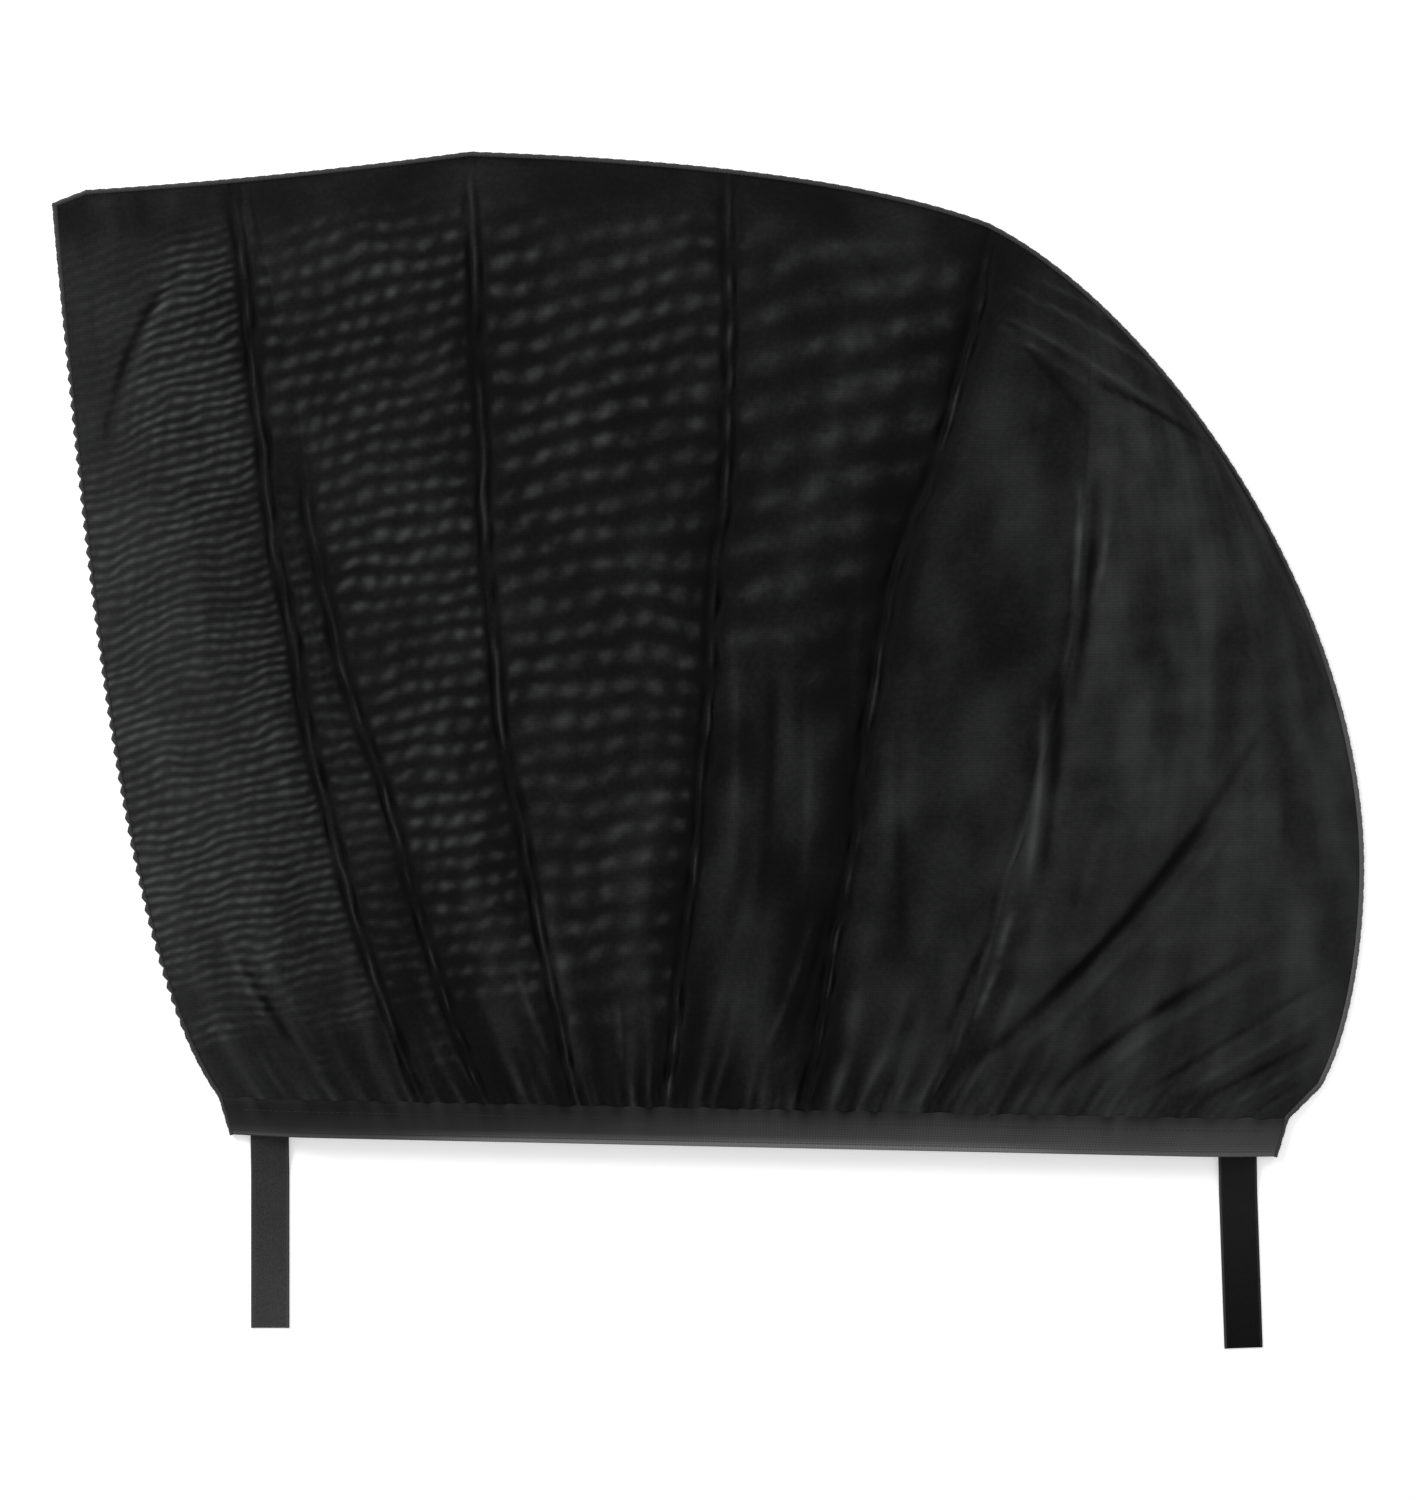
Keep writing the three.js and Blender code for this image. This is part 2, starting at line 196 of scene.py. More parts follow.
# Each crease: its place across the panel at the hem, half way up and at the top, its strength, how far
# up it reaches, and how much higher the cloth lies on its right than on its left
MAIN_CREASES = [
    (0.190, 0.145, 0.138, 0.9, 1.1, 0.2),
    (0.250, 0.182, 0.150, 0.8, 0.72, 0.3),
    (0.335, 0.296, 0.315, 1.1, 1.1, 0.0),
    (0.420, 0.465, 0.510, 1.1, 1.1, 0.5),
    (0.545, 0.590, 0.714, 1.0, 1.1, 2.2),
    (0.660, 0.728, 0.800, 0.32, 0.78, 0.8),
]
STOPS = [0.0] + [crease[0] for crease in MAIN_CREASES] + [1.0]
SLANTED_CREASES = [(0.72, 0.40), (0.79, 0.84)]
CREST = 0.95 * MM
VALLEY = 1.1 * MM
VALLEY_OFFSET = 2.5 * MM
CREST_HEIGHT = 1.9
VALLEY_DEPTH = 1.4

# Puckers along the hem: how many, half width, reach up the panel and height, each from least to most,
# in mm
PUCKER_TIERS = [
    (96, (1.0, 1.9), (9, 28), (0.9, 2.2)),
    (46, (1.8, 3.0), (22, 70), (1.6, 3.8)),
    (24, (3.2, 5.5), (55, 150), (0.9, 3.0)),
]
# How high they stand from left to right along the hem
PUCKER_SHARE = ((0, 0.12, 0.28, 0.65, 0.8, 1), (0.5, 0.75, 1.0, 1.0, 0.6, 0.4))
# Strength of the painted light and shade on the puckers
PUCKER_PAINTED_SHADING = 0.50

STREAKS = 95
STREAK_HEIGHT = 0.75 * MM
STREAK_PAINTED_SHADING = 0.28

# Single folds: start, bend and end in mm from the lower left end of the hem, half width and height in
# mm, and the strength of the painted highlight on a fold that rises and the painted shade in one that
# sinks
FOLD_PAINTED_SHADING = 1.35
FOLDS = [
    (541, 217, 461, 89, 386, 38, 3.0, -2.9, -1.3), (551, 208, 472, 84, 398, 34, 3.2, 2.0, 0.4),
    (510, 164, 462, 100, 401, 53, 2.0, -0.8, -0.5), (534, 96, 458, 55, 425, 20, 2.8, -2.3, -1.1),
    (542, 90, 470, 52, 438, 18, 3.0, 1.7, 0.4), (572, 82, 520, 52, 468, 18, 2.0, -1.4, -0.6),
    (577, 70, 540, 46, 484, 18, 2.0, 1.1, 0.4), (570, 52, 540, 38, 500, 16, 1.8, -1.2, -0.6),
    (568, 42, 548, 30, 515, 14, 1.6, 1.0, 0.5), (560, 30, 548, 22, 528, 10, 1.4, -0.9, -0.5),
    (391, 431, 440, 410, 502, 364, 1.5, 1.1, 1.0), (396, 424, 424, 404, 452, 388, 1.4, 1.0, 0.9),
    (402, 441, 452, 422, 498, 386, 1.4, 1.0, 0.9), (412, 447, 450, 436, 484, 410, 1.3, 0.8, 0.7),
    (446, 393, 478, 380, 508, 359, 1.8, -1.2, -1.1), (400, 430, 420, 398, 448, 372, 1.6, -1.0, -0.5),
    (442, 344, 443, 310, 438, 272, 2.1, 2.0, 1.6), (450, 344, 450, 290, 438, 222, 2.8, -1.7, -1.1),
    (456, 324, 456, 302, 449, 276, 1.9, 1.2, 1.0), (424, 230, 423, 185, 414, 126, 2.3, 2.2, 1.7),
    (432, 250, 432, 190, 421, 128, 2.8, -1.6, -0.9), (408, 118, 402, 104, 400, 92, 2.2, 1.7, 1.5),
    (400, 90, 394, 76, 388, 60, 1.9, 1.8, 1.4), (396, 106, 384, 84, 372, 50, 2.4, -1.4, -0.8),
    (-4, 110, 8, 80, 29, 50, 2.2, 1.6, 0.5), (5, 98, 18, 70, 38, 44, 2.0, -1.6, -0.8),
    (22, 92, 34, 70, 50, 40, 2.0, 1.2, 0.4), (-20, 451, -52, 424, -66, 358, 2.2, -1.6, -1.0),
    (-14, 452, -44, 422, -58, 358, 2.2, 1.1, 0.4), (150, 90, 156, 66, 169, 38, 1.7, 1.8, 0.9),
    (202, 72, 203, 55, 204, 38, 1.4, 1.7, 1.0), (304, 118, 296, 80, 276, 38, 1.8, 1.7, 0.8),
    (312, 122, 306, 84, 288, 40, 2.4, -1.6, -0.8), (350, 225, 346, 160, 352, 90, 3.2, -1.2, -0.5),
    (330, 300, 324, 240, 326, 180, 3.0, 1.2, 0.3), (262, 262, 266, 200, 262, 130, 2.6, 1.5, 0.5),
    (282, 250, 284, 190, 276, 110, 3.0, -1.4, -0.6), (300, 235, 304, 170, 298, 120, 2.4, 1.2, 0.4),
    (500, 330, 514, 262, 508, 190, 4.5, 1.3, 0.3), (474, 352, 486, 270, 472, 186, 5.0, -1.2, -0.3),
    (540, 240, 552, 196, 548, 140, 4.0, -1.0, -0.3),
]

# Soft patches of painted light, and of painted shade where the cloth lies double in a fold: middle and
# radii in mm, and strength
PATCH_PAINTED_SHADING = 1.3
LIGHT_AND_SHADE_PATCHES = [
    (478, 345, 34, 26, 0.30), (452, 240, 14, 60, 0.22), (482, 205, 20, 45, 0.26),
    (520, 175, 26, 40, 0.20), (398, 292, 16, 52, 0.14), (446, 152, 18, 30, 0.24),
    (500, 108, 34, 20, 0.22), (556, 92, 18, 46, 0.25), (414, 330, 16, 22, 0.16),
    (262, 172, 10, 12, 0.34), (343, 306, 13, 56, -0.55), (322, 226, 12, 60, -0.6),
    (246, 212, 10, 60, -0.5), (334, 190, 10, 40, -0.35), (300, 96, 12, 42, -0.45),
    (236, 110, 8, 50, -0.45), (200, 165, 32, 62, 0.30), (116, 70, 30, 34, 0.12),
    (400, 261, 18, 50, -0.25), (290, 208, 6, 34, 0.3), (272, 116, 9, 13, 0.34),
    (373, 182, 14, 52, 0.16), (540, 132, 22, 34, 0.16), (512, 288, 22, 14, 0.24),
    (474, 311, 11, 20, 0.22), (507, 276, 17, 4, 0.25), (508, 294, 9, 12, 0.22),
    (545, 205, 9, 20, 0.2), (289, 168, 26, 90, 0.08), (372, 408, 26, 22, -0.2),
    (318, 150, 12, 40, -0.3), (92, 100, 12, 46, -0.4), (118, 60, 16, 40, -0.35),
]


def crease_place(hem, middle, top, up):
    """Where a crease runs: from 0 at the left edge to 1 at the right, at heights from 0 to 1."""
    low = lerp(hem, middle, up * 2)
    high = lerp(middle, top, up * 2 - 1)
    wander = 0.0024 * np.sin(up * 13 + hem * 40) + 0.0011 * np.sin(up * 31 + hem * 90)
    wander += 0.0004 * np.sin(up * 83 + hem * 60)
    return lerp(low, high, smooth(up, 0.25, 0.75)) + wander * np.sin(math.pi * np.clip(up, 0, 1))


def puff(across, up):
    """From 0 at the seam to 1 where the front panel stands clear."""
    def rise(distance):
        return np.sin(math.pi / 2 * np.clip(distance / PUFF_RUN, 0, 1))
    return rise(across * HEM_LENGTH) * rise((1 - across) * HEM_LENGTH) * rise((1 - up) * CORNER_RISE)


def back_underside(up):
    """Underside of the back panel, which rises at the hem to lie on its elastic."""
    return (1 - smooth(up * CORNER_RISE, 0, HEM_RAMP)) * (BAND + CLEARANCE)


FULL_BAY = 70 * MM  # a bay narrower than this swells less


def bay_swell(across, up):
    """The cloth swells between neighbouring creases, from 0 on each crease to 1 between them."""
    places = [np.zeros_like(up)]
    places += [crease_place(*crease[:3], up) for crease in MAIN_CREASES]
    places += [np.minimum(1.0, hem + lean * up) for hem, lean in SLANTED_CREASES]
    places.append(np.ones_like(up))
    places = np.sort(np.stack(places), axis=0)
    swell = np.zeros_like(up)
    for left, right in zip(places[:-1], places[1:]):
        width = np.maximum(right - left, 1e-4)
        share = (across - left) / width
        inside = (share >= 0) & (share <= 1)
        hump = np.sin(math.pi * np.clip(share, 0, 1)) ** 0.7
        narrow = np.minimum(1, width * HEM_LENGTH / FULL_BAY)
        swell = np.where(inside, hump * narrow, swell)
    return swell


def bell(distance, width):
    return np.exp(-((distance / width) ** 2))


class Relief:
    """Height of the cloth's folds, and the light and shade painted on them."""

    def __init__(self, shape):
        self.height = np.zeros(shape)
        self.tone = np.zeros(shape)

    def add(self, height, tone):
        self.height += height
        self.tone += tone


def ragged(up, rng, slow=12, quick=150, count=7):
    """An uneven run of values about 0 along a crease, from waves of many lengths."""
    waves = [np.sin(up * rng.uniform(slow, quick) + rng.uniform(0, 2 * math.pi)) for _ in range(count)]
    return sum(waves) / math.sqrt(count / 2)


def add_creases(relief, across, up, rng):
    """Long pleats: a thin crest in dashes between two narrow valleys."""
    for hem, middle, top, strength, reach, step in MAIN_CREASES:
        distance = (across - crease_place(hem, middle, top, up)) * HEM_LENGTH * 1.1
        envelope = strength * (1 - smooth(up, reach - 0.14, reach))
        envelope = envelope * (1 - 0.3 * smooth(up, 0.85, 1.0)) * smooth(up, -0.03, 0.04)
        dashes = np.clip(0.50 + 0.42 * ragged(up, rng), 0, 1.5)
        crest = dashes * bell(distance + 0.2 * MM * ragged(up, rng), CREST)
        sides = []
        for way, lean in ((1, 0.5 * step), (-1, 0)):
            depth = np.clip(0.62 + 0.34 * ragged(up, rng), 0.05, 1.4)
            width = VALLEY * (1 + lean) * np.clip(1 + 0.4 * ragged(up, rng), 0.5, 2)
            apart = VALLEY_OFFSET * (1 + 0.1 * ragged(up, rng))
            sides.append(depth * bell(distance + way * apart, width))
        left, right = sides
        height = CREST_HEIGHT * crest - VALLEY_DEPTH * (left + right)
        height += step * np.tanh(distance / (3 * MM)) * np.exp(-np.abs(distance) / (24 * MM))
        # Painted highlight along the crest and painted shade in the valleys either side, with a broader
        # painted shade beside the crease, stronger on its lower, left side.
        tone = 1.25 * crest - (0.75 + 0.25 * step) * left - 0.75 * right
        painted_side_shade = bell(distance + 3 * MM, 9 * MM) + 0.6 * bell(distance - 4 * MM, 8 * MM)
        tone -= 0.16 * (1 + step) * painted_side_shade * (0.6 + 0.4 * ragged(up, rng, 4, 20))
        relief.add(height * MM * envelope, tone * envelope)


def add_puckers(relief, start, up, rng):
    """Puckers that start at the hem and die away at uneven heights."""
    rise = up * CORNER_RISE
    for count, widths, reaches, heights in PUCKER_TIERS:
        for index in range(count):
            hem = (index + 0.5 + rng.uniform(-0.45, 0.45)) / count
            width = rng.uniform(*widths) * MM
            reach = rng.uniform(*reaches) * MM
            height = rng.uniform(*heights)
            lean = rng.uniform(-0.09, 0.09)
            bend = rng.uniform(-0.5, 0.5)
            place = hem + (lean + bend * up * 0.1) * up
            distance = (start - place) * HEM_LENGTH
            spread = width * (1 + rise / (2.5 * reach))
            envelope = np.exp(-((rise / reach) ** 1.5)) * np.interp(hem, *PUCKER_SHARE)
            envelope *= 0.75 + 0.25 * np.sin(rise / (6 * MM) + rng.uniform(0, 6.28))
            crest = np.exp(-np.abs(distance / spread) ** 1.5) - 0.4 * bell(distance, 2.4 * spread)
            profile = height * crest * envelope
            # Painted light on each pucker's crest and painted shade in the dips beside it.
            relief.add(MM * profile, PUCKER_PAINTED_SHADING * profile)


def add_streaks(relief, start, up, rng):
    """Soft wrinkles along the fan of the folds, at places and lengths of their own."""
    for _ in range(STREAKS):
        place = rng.uniform(0.02, 0.98)
        centre = rng.uniform(0.1, 0.85)
        reach = rng.uniform(0.07, 0.24)
        lean = rng.uniform(-0.04, 0.04)
        width = rng.uniform(2.2, 8) * MM
        height = rng.uniform(-0.8, 0.9)
        distance = (start - place - lean * (up - centre)) * HEM_LENGTH
        strength = height * bell(distance, width) * bell(up - centre, reach)
        # Painted lighter where a wrinkle rises and painted shade where it sinks.
        relief.add(STREAK_HEIGHT * strength, STREAK_PAINTED_SHADING * strength)


def path_distance(xy, path):
    """Distance to a path, and how far along it its nearest place is, from 0 to 1."""
    nearest = np.full(xy.shape[:-1], 1e9)
    along = np.zeros(xy.shape[:-1])
    for index, (start, end) in enumerate(zip(path[:-1], path[1:])):
        run = end - start
        share = np.clip(((xy - start) @ run) / (run @ run), 0, 1)
        distance = np.linalg.norm(xy - start - share[..., None] * run, axis=-1)
        closer = distance < nearest
        nearest = np.where(closer, distance, nearest)
        along = np.where(closer, (index + share) / (len(path) - 1), along)
    return nearest, along


def add_folds(relief, xy):
    for *places, width, height, tone in FOLDS:
        start, bend, end = np.reshape(places, (3, 2)) * MM + ORIGIN
        t = np.linspace(0, 1, 9)[:, None]
        path = (1 - t) ** 2 * start + 2 * t * (1 - t) * bend + t**2 * end
        distance, along = path_distance(xy, path)
        envelope = np.sin(math.pi * np.clip(along, 0.0, 1.0)) ** 0.7
        strength = 0.8 + 0.2 * np.sin(along * 21 + start[0] * 90)
        profile = bell(distance, width * MM) * envelope * strength
        # Painted highlight along a raised fold, painted shade along a sunk one.
        relief.add(height * MM * profile, FOLD_PAINTED_SHADING * tone * profile)


def add_patches(relief, xy):
    for x, y, across, along, tone in LIGHT_AND_SHADE_PATCHES:
        offset = (xy - ORIGIN - np.array([x, y]) * MM) / (np.array([across, along]) * MM)
        # Painted lighter where the strength is above 0, painted shade where it is below.
        relief.add(0, PATCH_PAINTED_SHADING * tone * np.exp(-((offset**2).sum(-1))))


def uneven(xy, scale, rng, count=18):
    """A smooth random field of about 1, from waves of about this length."""
    field = np.zeros(xy.shape[:-1])
    for _ in range(count):
        direction = towards(rng.uniform(0, 360)) * 2 * math.pi / (scale * rng.uniform(0.6, 1.8))
        field += np.sin(xy @ direction + rng.uniform(0, 2 * math.pi))
    return field / math.sqrt(count / 2)


# Meshes


def link(mesh_object):
    bpy.context.scene.collection.objects.link(mesh_object)
    return mesh_object


def mesh_piece(name, points, faces, material):
    mesh = bpy.data.meshes.new(name)
    mesh.from_pydata(np.asarray(points, float).tolist(), [], [list(map(int, face)) for face in faces])
    mesh.validate()
    mesh.update()
    mesh.polygons.foreach_set("use_smooth", [True] * len(mesh.polygons))
    mesh.materials.append(material)
    piece = link(bpy.data.objects.new(name, mesh))
    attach(piece, "root")
    return piece


def lifted(xy, z):
    return np.concatenate([xy, z[..., None]], axis=-1)


def grid_faces(rows, columns, start=0, flip=False):
    i, j = np.meshgrid(np.arange(rows - 1), np.arange(columns - 1), indexing="ij")
    a = (start + i * columns + j).ravel()
    quads = np.stack([a, a + 1, a + 1 + columns, a + columns], axis=-1)
    return quads[:, ::-1] if flip else quads


def closed_sheet(upper, lower):
    """Points and faces of a sheet between two grids of points, closed round its rim."""
    rows, columns = upper.shape[:2]
    count = rows * columns
    faces = [grid_faces(rows, columns), grid_faces(rows, columns, count, flip=True)]
    index = np.arange(count).reshape(rows, columns)
    rim = np.concatenate([index[0, :-1], index[:-1, -1], index[-1, :0:-1], index[:0:-1, 0]])
    following = np.roll(rim, -1)
    faces.append(np.stack([rim + count, following + count, following, rim], axis=-1))
    points = np.concatenate([upper.reshape(-1, 3), lower.reshape(-1, 3)])
    return points, np.concatenate(faces)


def picks(count, stride):
    """Every stride-th of count rows, and the last."""
    return np.append(np.arange(0, count - 1, stride), count - 1)


def lined_sheet(upper, under, stride):
    """A closed sheet whose hidden underside has fewer rows and columns than its upper side."""
    rows, columns = upper.shape[:2]
    row_picks, column_picks = picks(rows, stride), picks(columns, stride)
    low = under
    for axis in (0, 1):
        padded = np.pad(low, [(stride, stride) if k == axis else (0, 0) for k in (0, 1)], mode="edge")
        places = np.arange(low.shape[axis])
        windows = [np.take(padded, places + shift, axis) for shift in range(2 * stride + 1)]
        low = np.min(windows, axis=0)
    low = np.minimum(under, low)
    rim_free = np.ones_like(under, bool)
    rim_free[[0, -1]], rim_free[:, [0, -1]] = False, False
    low = np.where(rim_free, low, under)
    chosen = np.ix_(row_picks, column_picks)
    lower = lifted(upper[chosen][..., :2], low[chosen])
    count = rows * columns
    faces = [list(face) for face in grid_faces(rows, columns)]
    faces += [list(face) for face in grid_faces(len(row_picks), len(column_picks), count, flip=True)]
    above = np.arange(count).reshape(rows, columns)
    below = np.arange(lower.shape[0] * lower.shape[1]).reshape(lower.shape[:2]) + count
    sides = [
        (above[0], below[0], column_picks),
        (above[:, -1], below[:, -1], row_picks),
        (above[-1, ::-1], below[-1, ::-1], (columns - 1 - column_picks)[::-1]),
        (above[::-1, 0], below[::-1, 0], (rows - 1 - row_picks)[::-1]),
    ]
    for edge, hidden, stops in sides:
        for index, (first, last) in enumerate(zip(stops[:-1], stops[1:])):
            faces.append([hidden[index], hidden[index + 1]] + list(edge[first:last + 1][::-1]))
    return np.concatenate([upper.reshape(-1, 3), lower.reshape(-1, 3)]), faces, chosen


def add_attribute(piece, name, values):
    attribute = piece.data.attributes.new(name, "FLOAT", "POINT")
    attribute.data.foreach_set("value", np.asarray(values, np.float32).ravel())


# Materials


class Nodes:
    """The node tree of a material or world, with short ways to add and join nodes."""

    def __init__(self, name, owners=bpy.data.materials, shader="Principled BSDF"):
        self.owner = owners.new(name)
        self.owner.use_nodes = True
        self.tree = self.owner.node_tree
        self.shader = self.tree.nodes[shader]

    def add(self, kind, **inputs):
        node = self.tree.nodes.new(kind)
        for name, value in inputs.items():
            self.feed(node, name.replace("_", " "), value)
        return node

    def feed(self, node, socket, value):
        target = node.inputs[socket]
        if isinstance(value, bpy.types.NodeSocket):
            self.tree.links.new(value, target)
        else:
            target.default_value = value

    def math(self, operation, first, second=0.0, third=None, clamp=False):
        node = self.tree.nodes.new("ShaderNodeMath")
        node.operation = operation
        node.use_clamp = clamp
        for index, value in enumerate([first, second] + ([] if third is None else [third])):
            self.feed(node, index, value)
        return node.outputs[0]

    def times(self, first, second):
        return self.math("MULTIPLY", first, second)

    def plus(self, first, second):
        return self.math("ADD", first, second)

    def attribute(self, name):
        node = self.tree.nodes.new("ShaderNodeAttribute")
        node.attribute_name = name
        return node.outputs["Fac"]

    def place(self):
        return self.tree.nodes.new("ShaderNodeTexCoord").outputs["Object"]

    def noise(self, scale, detail):
        node = self.add("ShaderNodeTexNoise", Scale=scale, Detail=detail, Vector=self.place())
        return node.outputs["Fac"]

    def mix(self, share, first, second):
        node = self.tree.nodes.new("ShaderNodeMix")
        node.data_type = "RGBA"
        for index, value in ((0, share), (6, first), (7, second)):
            self.feed(node, index, value)
        return node.outputs[2]

    def bump(self, height, distance, strength):
        node = self.add("ShaderNodeBump", Height=height, Distance=distance, Strength=strength)
        return node.outputs["Normal"]

    def set(self, **values):
        for name, value in values.items():
            self.feed(self.shader, name.replace("_", " "), value)
        return self.owner


def grey(value, warm=0.0):
    return (value * (1 + warm), value, value * (1 - warm), 1)


def wave(nodes, phase):
    """From 0 to 1 and back for each whole number of the phase."""
    angle = nodes.times(phase, 2 * math.pi)
    return nodes.math("MULTIPLY_ADD", nodes.math("SINE", angle), 0.5, 0.5)


PORE_PITCH = 1.25 * MM


def mesh_fabric(name):
    """Sheer knitted mesh over a second layer: soft rows of light spots where the two meshes beat."""
    nodes = Nodes(name)
    rows = wave(nodes, nodes.attribute("beat_up"))
    columns = wave(nodes, nodes.attribute("beat_across"))
    spots = nodes.attribute("beat_spots")
    joined_rows = nodes.math("SUBTRACT", 1.0, spots)
    rounded = nodes.plus(nodes.times(columns, spots), joined_rows)
    spot = nodes.times(nodes.math("POWER", rows, 1.35), rounded)
    fine = nodes.math("MULTIPLY_ADD", nodes.noise(120.0, 2.0), 1.7, -0.15, clamp=True)
    broad = nodes.math("MULTIPLY_ADD", nodes.noise(16.0, 2.0), 1.8, -0.15, clamp=True)
    spot = nodes.times(spot, fine)
    spot = nodes.times(spot, nodes.times(broad, 2.2))
    spot = nodes.times(spot, nodes.attribute("beat_strength"))
    cloud = nodes.times(nodes.math("SUBTRACT", nodes.noise(26.0, 5.0), 0.45), 0.34)
    grain = nodes.times(nodes.math("SUBTRACT", nodes.noise(420.0, 2.0), 0.5), 0.22)
    share = nodes.plus(spot, cloud)
    # The tone attribute adds the painted light and shade of the folds, creases and puckers, with the
    # paleness and blotches.
    share = nodes.plus(share, nodes.plus(grain, nodes.attribute("tone")))
    share = soft_floor(nodes, nodes.plus(share, 0.14))
    colour = nodes.mix(share, grey(0.0006), grey(0.054, -0.02))
    weave = pores(nodes, PORE_PITCH)
    colour = nodes.mix(nodes.times(weave, 0.3), colour, grey(0.002))
    normal = nodes.bump(weave, 0.12 * MM, 0.5)
    return nodes.set(Base_Color=colour, Roughness=0.66, Normal=normal, Specular_IOR_Level=0.045,
                     Sheen_Weight=0.012, Sheen_Roughness=0.4, Sheen_Tint=(0.6, 0.6, 0.62, 1))


def soft_floor(nodes, value):
    """The value where it is well above 0, and ever closer to 0 below."""
    root = nodes.math("SQRT", nodes.math("MULTIPLY_ADD", value, value, 0.018))
    return nodes.math("MULTIPLY", nodes.plus(value, root), 0.5, clamp=True)


def pores(nodes, pitch):
    """The mesh's own pores: 1 in a pore, 0 on the threads."""
    separate = nodes.add("ShaderNodeSeparateXYZ", Vector=nodes.place())
    x = wave(nodes, nodes.math("DIVIDE", separate.outputs["X"], pitch))
    y = wave(nodes, nodes.math("DIVIDE", separate.outputs["Y"], pitch * 1.2))
    return nodes.times(x, y)


def thread(name):
    """Textured filament thread, painted paler where it catches light."""
    nodes = Nodes(name)
    twist = nodes.noise(1400.0, 2.0)
    # The attribute holds a painted highlight where the thread catches light.
    share = nodes.math("MULTIPLY_ADD", twist, 0.25, nodes.attribute("painted_light_and_tone"), clamp=True)
    colour = nodes.mix(share, grey(0.004), grey(0.075))
    return nodes.set(Base_Color=colour, Roughness=0.5, Normal=nodes.bump(twist, 0.08 * MM, 0.6),
                     Specular_IOR_Level=0.25, Sheen_Weight=0.05)


def elastic_band():
    """Flat knitted elastic, with fine ribs along it; painted light makes it paler towards its lower
    edge, and painted shade darkens the hollows of its knit.
    """
    nodes = Nodes("elastic_band")
    ribs = wave(nodes, nodes.attribute("rib"))
    knit = wave(nodes, nodes.attribute("knit"))
    cloud = nodes.times(nodes.math("SUBTRACT", nodes.noise(20.0, 4.0), 0.42), 0.15)
    share = nodes.math("ADD", cloud, nodes.attribute("painted_light_and_tone"), clamp=True)
    colour = nodes.mix(share, grey(0.004), grey(0.17))
    # Painted shade in the hollows of the ribs and knit
    hollow_shade = nodes.times(nodes.times(ribs, knit), 0.45)
    colour = nodes.mix(hollow_shade, colour, grey(0.003))
    relief = nodes.plus(nodes.times(ribs, 0.6), nodes.times(knit, 0.4))
    return nodes.set(Base_Color=colour, Roughness=0.6, Normal=nodes.bump(relief, 0.15 * MM, 0.5),
                     Specular_IOR_Level=0.08, Sheen_Weight=0.02, Sheen_Roughness=0.4)


def tape(name, low, high, roughness, fuzz_scale, gloss, sheen, mottle):
    """A woven tape with a face of loops or hooks, between two greys."""
    nodes = Nodes(name)
    fuzz = nodes.noise(fuzz_scale, 5.0)
    cloud = nodes.noise(30.0, 3.0)
    share = nodes.math("MULTIPLY_ADD", fuzz, mottle, nodes.times(cloud, 0.57 * mottle))
    share = nodes.math("ADD", share, nodes.attribute("painted_light_and_tone"), clamp=True)
    colour = nodes.mix(share, grey(low), grey(high))
    return nodes.set(Base_Color=colour, Roughness=roughness, Normal=nodes.bump(fuzz, 0.35 * MM, 0.8),
                     Specular_IOR_Level=gloss, Sheen_Weight=sheen, Sheen_Roughness=0.5)


MESH_FABRIC = mesh_fabric("mesh_fabric")
SEAM_THREAD = thread("seam_thread")
ELASTIC = elastic_band()
LOOP_TAPE = tape("loop_tape", 0.012, 0.055, roughness=0.9, fuzz_scale=900.0, gloss=0.14, sheen=0.15,
                 mottle=0.7)
HOOK_TAPE = tape("hook_tape", 0.001, 0.045, roughness=0.6, fuzz_scale=1100.0, gloss=0.05, sheen=0.004,
                 mottle=0.14)


# Panels

# The light spots in each bay from left to right: pitch across and up in mm, how separate the spots are
# in their rows, and their strength
BEATS = [
    (8.2, 5.8, 0.45, 0.44),
    (9.0, 8.5, 0.5, 0.30),
    (11.3, 11.6, 0.7, 0.37),
    (14.8, 15.6, 0.7, 0.34),
    (22.0, 24.0, 0.6, 0.24),
    (30.0, 34.0, 0.5, 0.03),
    (24.0, 20.0, 0.5, 0.05),
]


def sheet_grid(columns, rows, crowding, closeness):
    """Across and up for each vertex, and where its column starts on the hem. Columns follow the fan of
    the creases, and lie closer together beside them."""
    fine = np.linspace(0, 1, 6000)
    density = np.ones_like(fine)
    for hem in STOPS[1:-1]:
        density += closeness * bell(fine - hem, 8 * MM / HEM_LENGTH)
    total = np.concatenate([[0], np.cumsum((density[1:] + density[:-1]) / 2)])
    start = np.interp(np.linspace(0, total[-1], columns), total, fine)
    up = np.linspace(0, 1, rows) ** crowding
    bay = np.interp(start, STOPS, np.arange(len(STOPS)))
    across = np.zeros((rows, columns))
    for row, level in enumerate(up):
        places = [float(crease_place(*crease[:3], np.array(level))) for crease in MAIN_CREASES]
        across[row] = np.interp(bay, np.arange(len(STOPS)), [0] + places + [1])
    return across, np.repeat(up[:, None], columns, axis=1), start


def with_margin(across, up, start, levels):
    """Adds the rows of the margin that runs down under the elastic."""
    columns = across.shape[1]
    margin = np.stack([hem_point(across[0], np.full(columns, level)) for level in levels])
    xy = np.concatenate([margin, panel_point(across, up)])
    across = np.concatenate([np.repeat(across[:1], len(levels), axis=0), across])
    up = np.concatenate([np.zeros((len(levels), columns)), up])
    return xy, across, up, np.repeat(start[None], len(up), axis=0)


